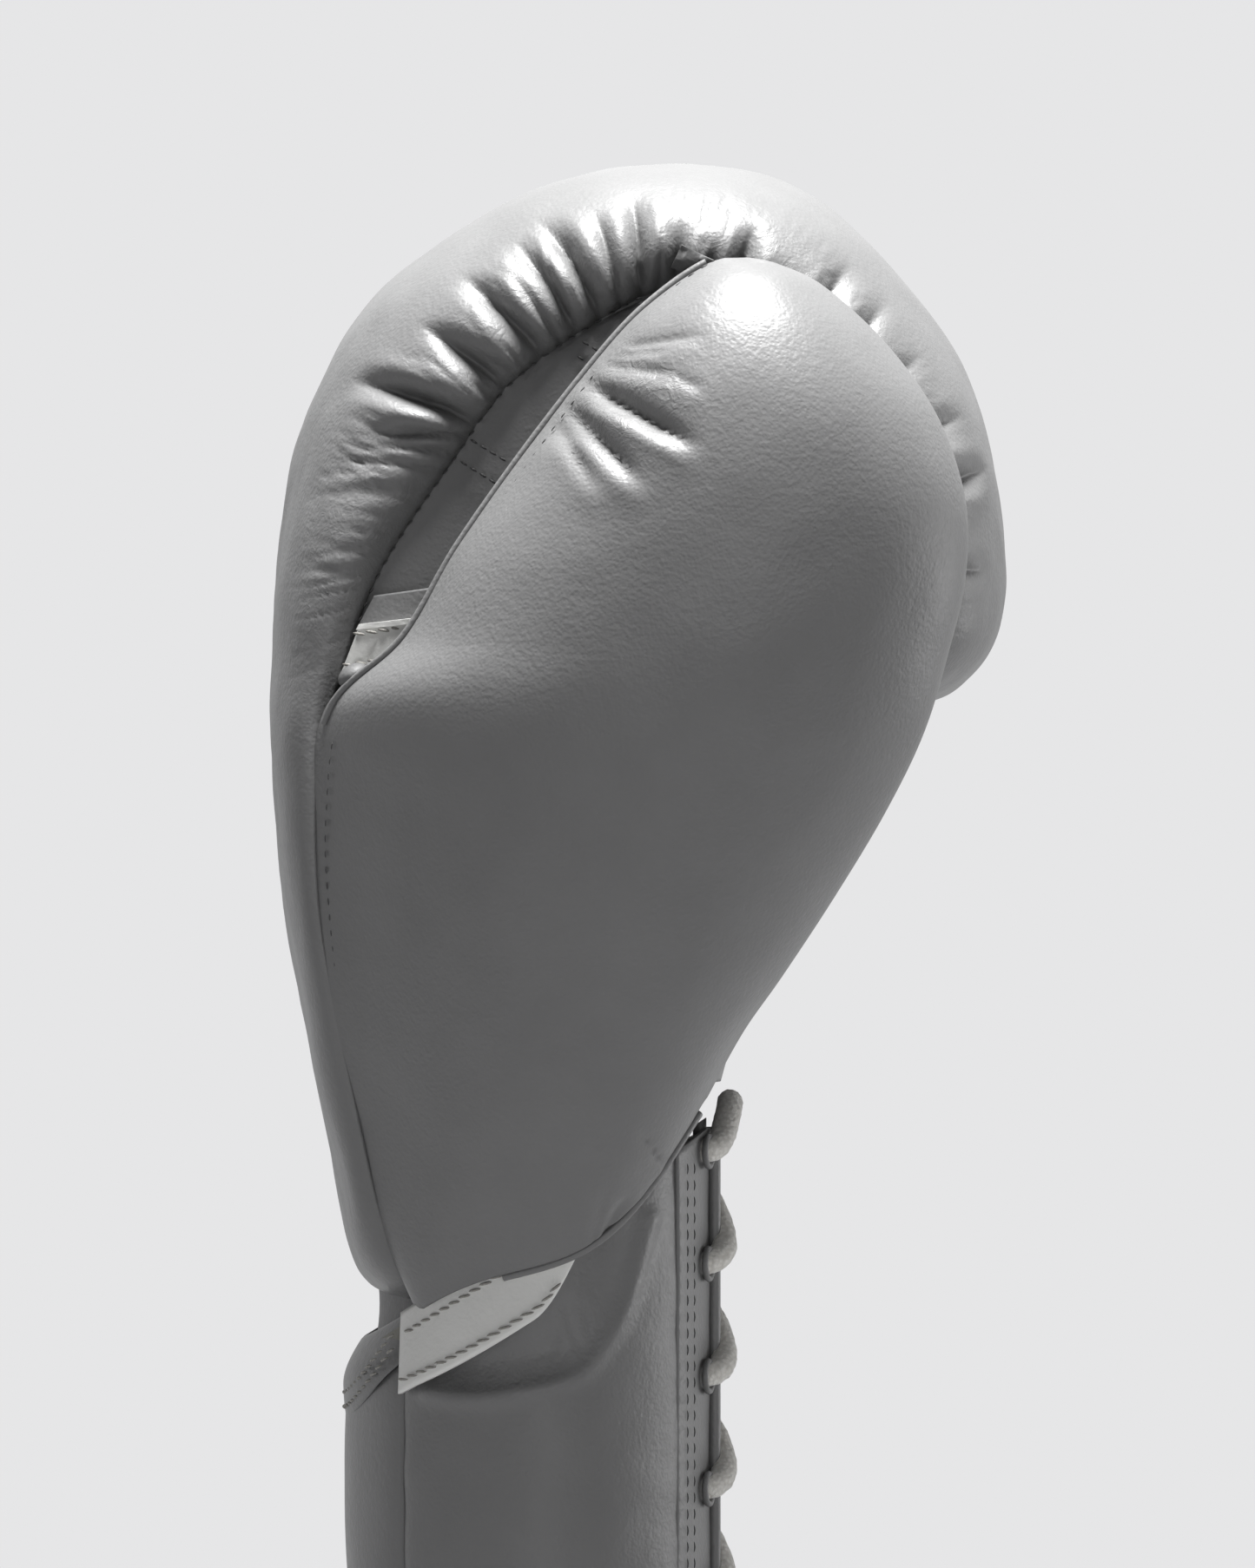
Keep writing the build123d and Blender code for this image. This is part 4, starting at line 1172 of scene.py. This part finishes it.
for side, sign in (("thumb_side", -1), ("pinky_side", 1)):
    half = held_cord(f"lace_{side}", lace_route(sign), LACE_RADIUS + 0.1, lace_cotton)
    for vertex in half.data.vertices:
        vertex.co += vertex.normal * 0.00022 * noise.noise(vertex.co * 900)
    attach(half, "cuff")
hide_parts("lace")

# %% [markdown]
# ### The knot
# The ends are tied in a firm knot at the foot of the slit. A trefoil, the simplest closed knot, gives the
# over and under turns that a tied lace shows.

# %% Knot
KNOT = (48.2, 0.0, 10.0)
knot_route = []
for n in range(48):
    t = 2 * pi * n / 47
    knot_route.append((KNOT[0] + 1.5 * sin(3 * t), KNOT[1] + 1.35 * (sin(t) + 2 * sin(2 * t)),
                       KNOT[2] + 0.6 + 1.1 * (cos(t) - 2 * cos(2 * t))))
knot = held_cord("lace_knot_turns", knot_route, 2.5, lace_cotton)
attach(knot, "cuff")
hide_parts("lace_knot")

# %% [markdown]
# ### Lace holes
# Each hole is punched through the facing and its edge is pressed in by the lace, so a small rolled ring of
# leather lies round it. One ring is shaped and copied.

# %% Lace holes
bpy.ops.object.select_all(action="DESELECT")
bpy.ops.mesh.primitive_torus_add(major_radius=0.0031, minor_radius=0.0007, major_segments=24,
                                 minor_segments=8, location=(0, 0, 0), rotation=(0, 0, 0))
ring = bpy.context.object
bpy.ops.object.mode_set(mode="EDIT")
bpy.ops.transform.rotate(value=pi / 2, orient_axis="Y", center_override=(0, 0, 0))
bpy.ops.object.mode_set(mode="OBJECT")
bpy.ops.object.shade_smooth()
HOLE_Y = 17.3
hole_angle = degrees(atan2(HOLE_Y, CUFF_A * sqrt(1 - (HOLE_Y / CUFF_B) ** 2)))
for side, sign in (("thumb_side", -1), ("pinky_side", 1)):
    for n, z in enumerate(LACE_ROWS):
        hole = bpy.data.objects.new(f"{side}_lace_hole_{n}", ring.data.copy())
        bpy.context.scene.collection.objects.link(hole)
        place = Vector(oval(sign * hole_angle, z, 2.3))
        normal = Vector(from_axis(place)).normalized()
        turn = atan2(normal.y, normal.x)
        for vertex in hole.data.vertices:
            x, y = vertex.co.x, vertex.co.y
            vertex.co.x = x * cos(turn) - y * sin(turn) + place.x / 1000
            vertex.co.y = x * sin(turn) + y * cos(turn) + place.y / 1000
            vertex.co.z += place.z / 1000
        hole.data.materials.append(edge_leather)
        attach(hole, "cuff")
bpy.data.objects.remove(ring)

# %% [markdown]
# ## Parts kept from the solid model
# Linings, the grip, the hem's binding and the inner foam have the right shape already, so they only get
# their finishes.

# %% Finishes of the kept parts
slots = {part["node"]: part["material_slot"] for part in frame["record"]["subparts"]}
FINISHES = {"grey_leather": grey_leather, "inner_leather": inner_leather, "light_leather": light_leather,
            "edge_binding": edge_leather, "lining_cloth": lining_cloth, "foam": pad_foam,
            "lace_cotton": lace_cotton, "aglet_plastic": tip_plastic}
for name, part in nodes.items():
    part.data.materials.clear()
    part.data.materials.append(FINISHES[slots[name]])

# %% [markdown]
# ## Studio
# A wide pale floor meets a pale world, and the camera sees both as one even light grey, from every side. So
# do reflections. One soft lamp hangs above and slightly in front, and leaves the upright leather in shade. A
# weak one near the floor lifts the cuff, another picks out the lace, and the world fills in a little.

# %% Floor
BACKDROP = "#e6e6e7"


def pale_rays(tree, rays):
    """1 for the rays that see the pale studio: from the camera, and off or through glossy things."""
    seen = add_node(tree, "ShaderNodeMath", {0: rays.outputs["Is Camera Ray"],
                                             1: rays.outputs["Is Glossy Ray"]}, operation="MAXIMUM")
    return add_node(tree, "ShaderNodeMath", {0: seen.outputs[0], 1: rays.outputs["Is Transmission Ray"]},
                    operation="MAXIMUM")


def studio_paper():
    """Paper that shows the glove's shadow near it, and farther off is one with the world behind it."""
    material = new_material("studio_paper")
    tree = material.node_tree
    rays = add_node(tree, "ShaderNodeLightPath")
    seen = pale_rays(tree, rays)
    place = add_node(tree, "ShaderNodeTexCoord").outputs["Object"]
    fibre = add_node(tree, "ShaderNodeTexNoise", {"Vector": place, "Scale": per_metre(3.0)})
    tone = add_node(tree, "ShaderNodeMix", {0: fibre.outputs["Fac"], 6: linear("#8c8c8d"),
                                            7: linear("#929293")}, data_type="RGBA")
    paper = add_node(tree, "ShaderNodeBsdfDiffuse", {"Color": tone.outputs[2]})
    glow = add_node(tree, "ShaderNodeEmission", {"Color": linear(BACKDROP), "Strength": 1.0})
    away = add_node(tree, "ShaderNodeVectorMath", {0: place}, operation="LENGTH")
    even = add_node(tree, "ShaderNodeMapRange", {"Value": away.outputs["Value"], "From Min": 0.2,
                                                 "From Max": 1.6, "To Min": 0.8, "To Max": 1.0})
    share = add_node(tree, "ShaderNodeMath", {0: seen.outputs[0], 1: even.outputs[0]}, operation="MULTIPLY")
    both = add_node(tree, "ShaderNodeMixShader",
                    {0: share.outputs[0], 1: paper.outputs[0], 2: glow.outputs[0]})
    add_node(tree, "ShaderNodeOutputMaterial", {"Surface": both.outputs[0]})
    return material


FLOOR_REACH = 12000
floor_rows = [[(x * FLOOR_REACH, y * FLOOR_REACH, 0) for x in (-1, 0, 1)] for y in (-1, 0, 1)]
floor = leather_grid("studio_floor", floor_rows, studio_paper())

# %% Lamps, world and view


def lamp(name, place, aim, size, power):
    """A square soft lamp that looks at a point: metres and watts."""
    bpy.ops.object.light_add(type="AREA", location=place)
    made = bpy.context.object
    made.name = name
    made.data.size = size
    made.data.energy = power
    made.rotation_euler = (Vector(aim) - Vector(place)).to_track_quat("-Z", "Y").to_euler()


lamp("lamp_above", (0.08, -0.12, 1.3), (0.03, -0.02, 0.2), 0.5, 50.0)
lamp("lamp_front", (0.2, -0.9, 0.02), (0, 0, 0.1), 0.4, 1.1)
lamp("lamp_right", (0.8, 0.25, 0.05), (0.04, 0, 0.1), 0.4, 2.0)

world = bpy.data.worlds.new("studio_world")
bpy.context.scene.world = world
world.use_nodes = True
world.node_tree.nodes.clear()
rays = add_node(world.node_tree, "ShaderNodeLightPath")
seen = pale_rays(world.node_tree, rays)
plain = add_node(world.node_tree, "ShaderNodeBackground", {"Color": (1, 1, 1, 1), "Strength": 0.05})
pale = add_node(world.node_tree, "ShaderNodeBackground", {"Color": linear(BACKDROP), "Strength": 1.0})
both = add_node(world.node_tree, "ShaderNodeMixShader",
                {0: seen.outputs[0], 1: plain.outputs[0], 2: pale.outputs[0]})
add_node(world.node_tree, "ShaderNodeOutputWorld", {"Surface": both.outputs[0]})
bpy.context.scene.view_settings.view_transform = "Standard"
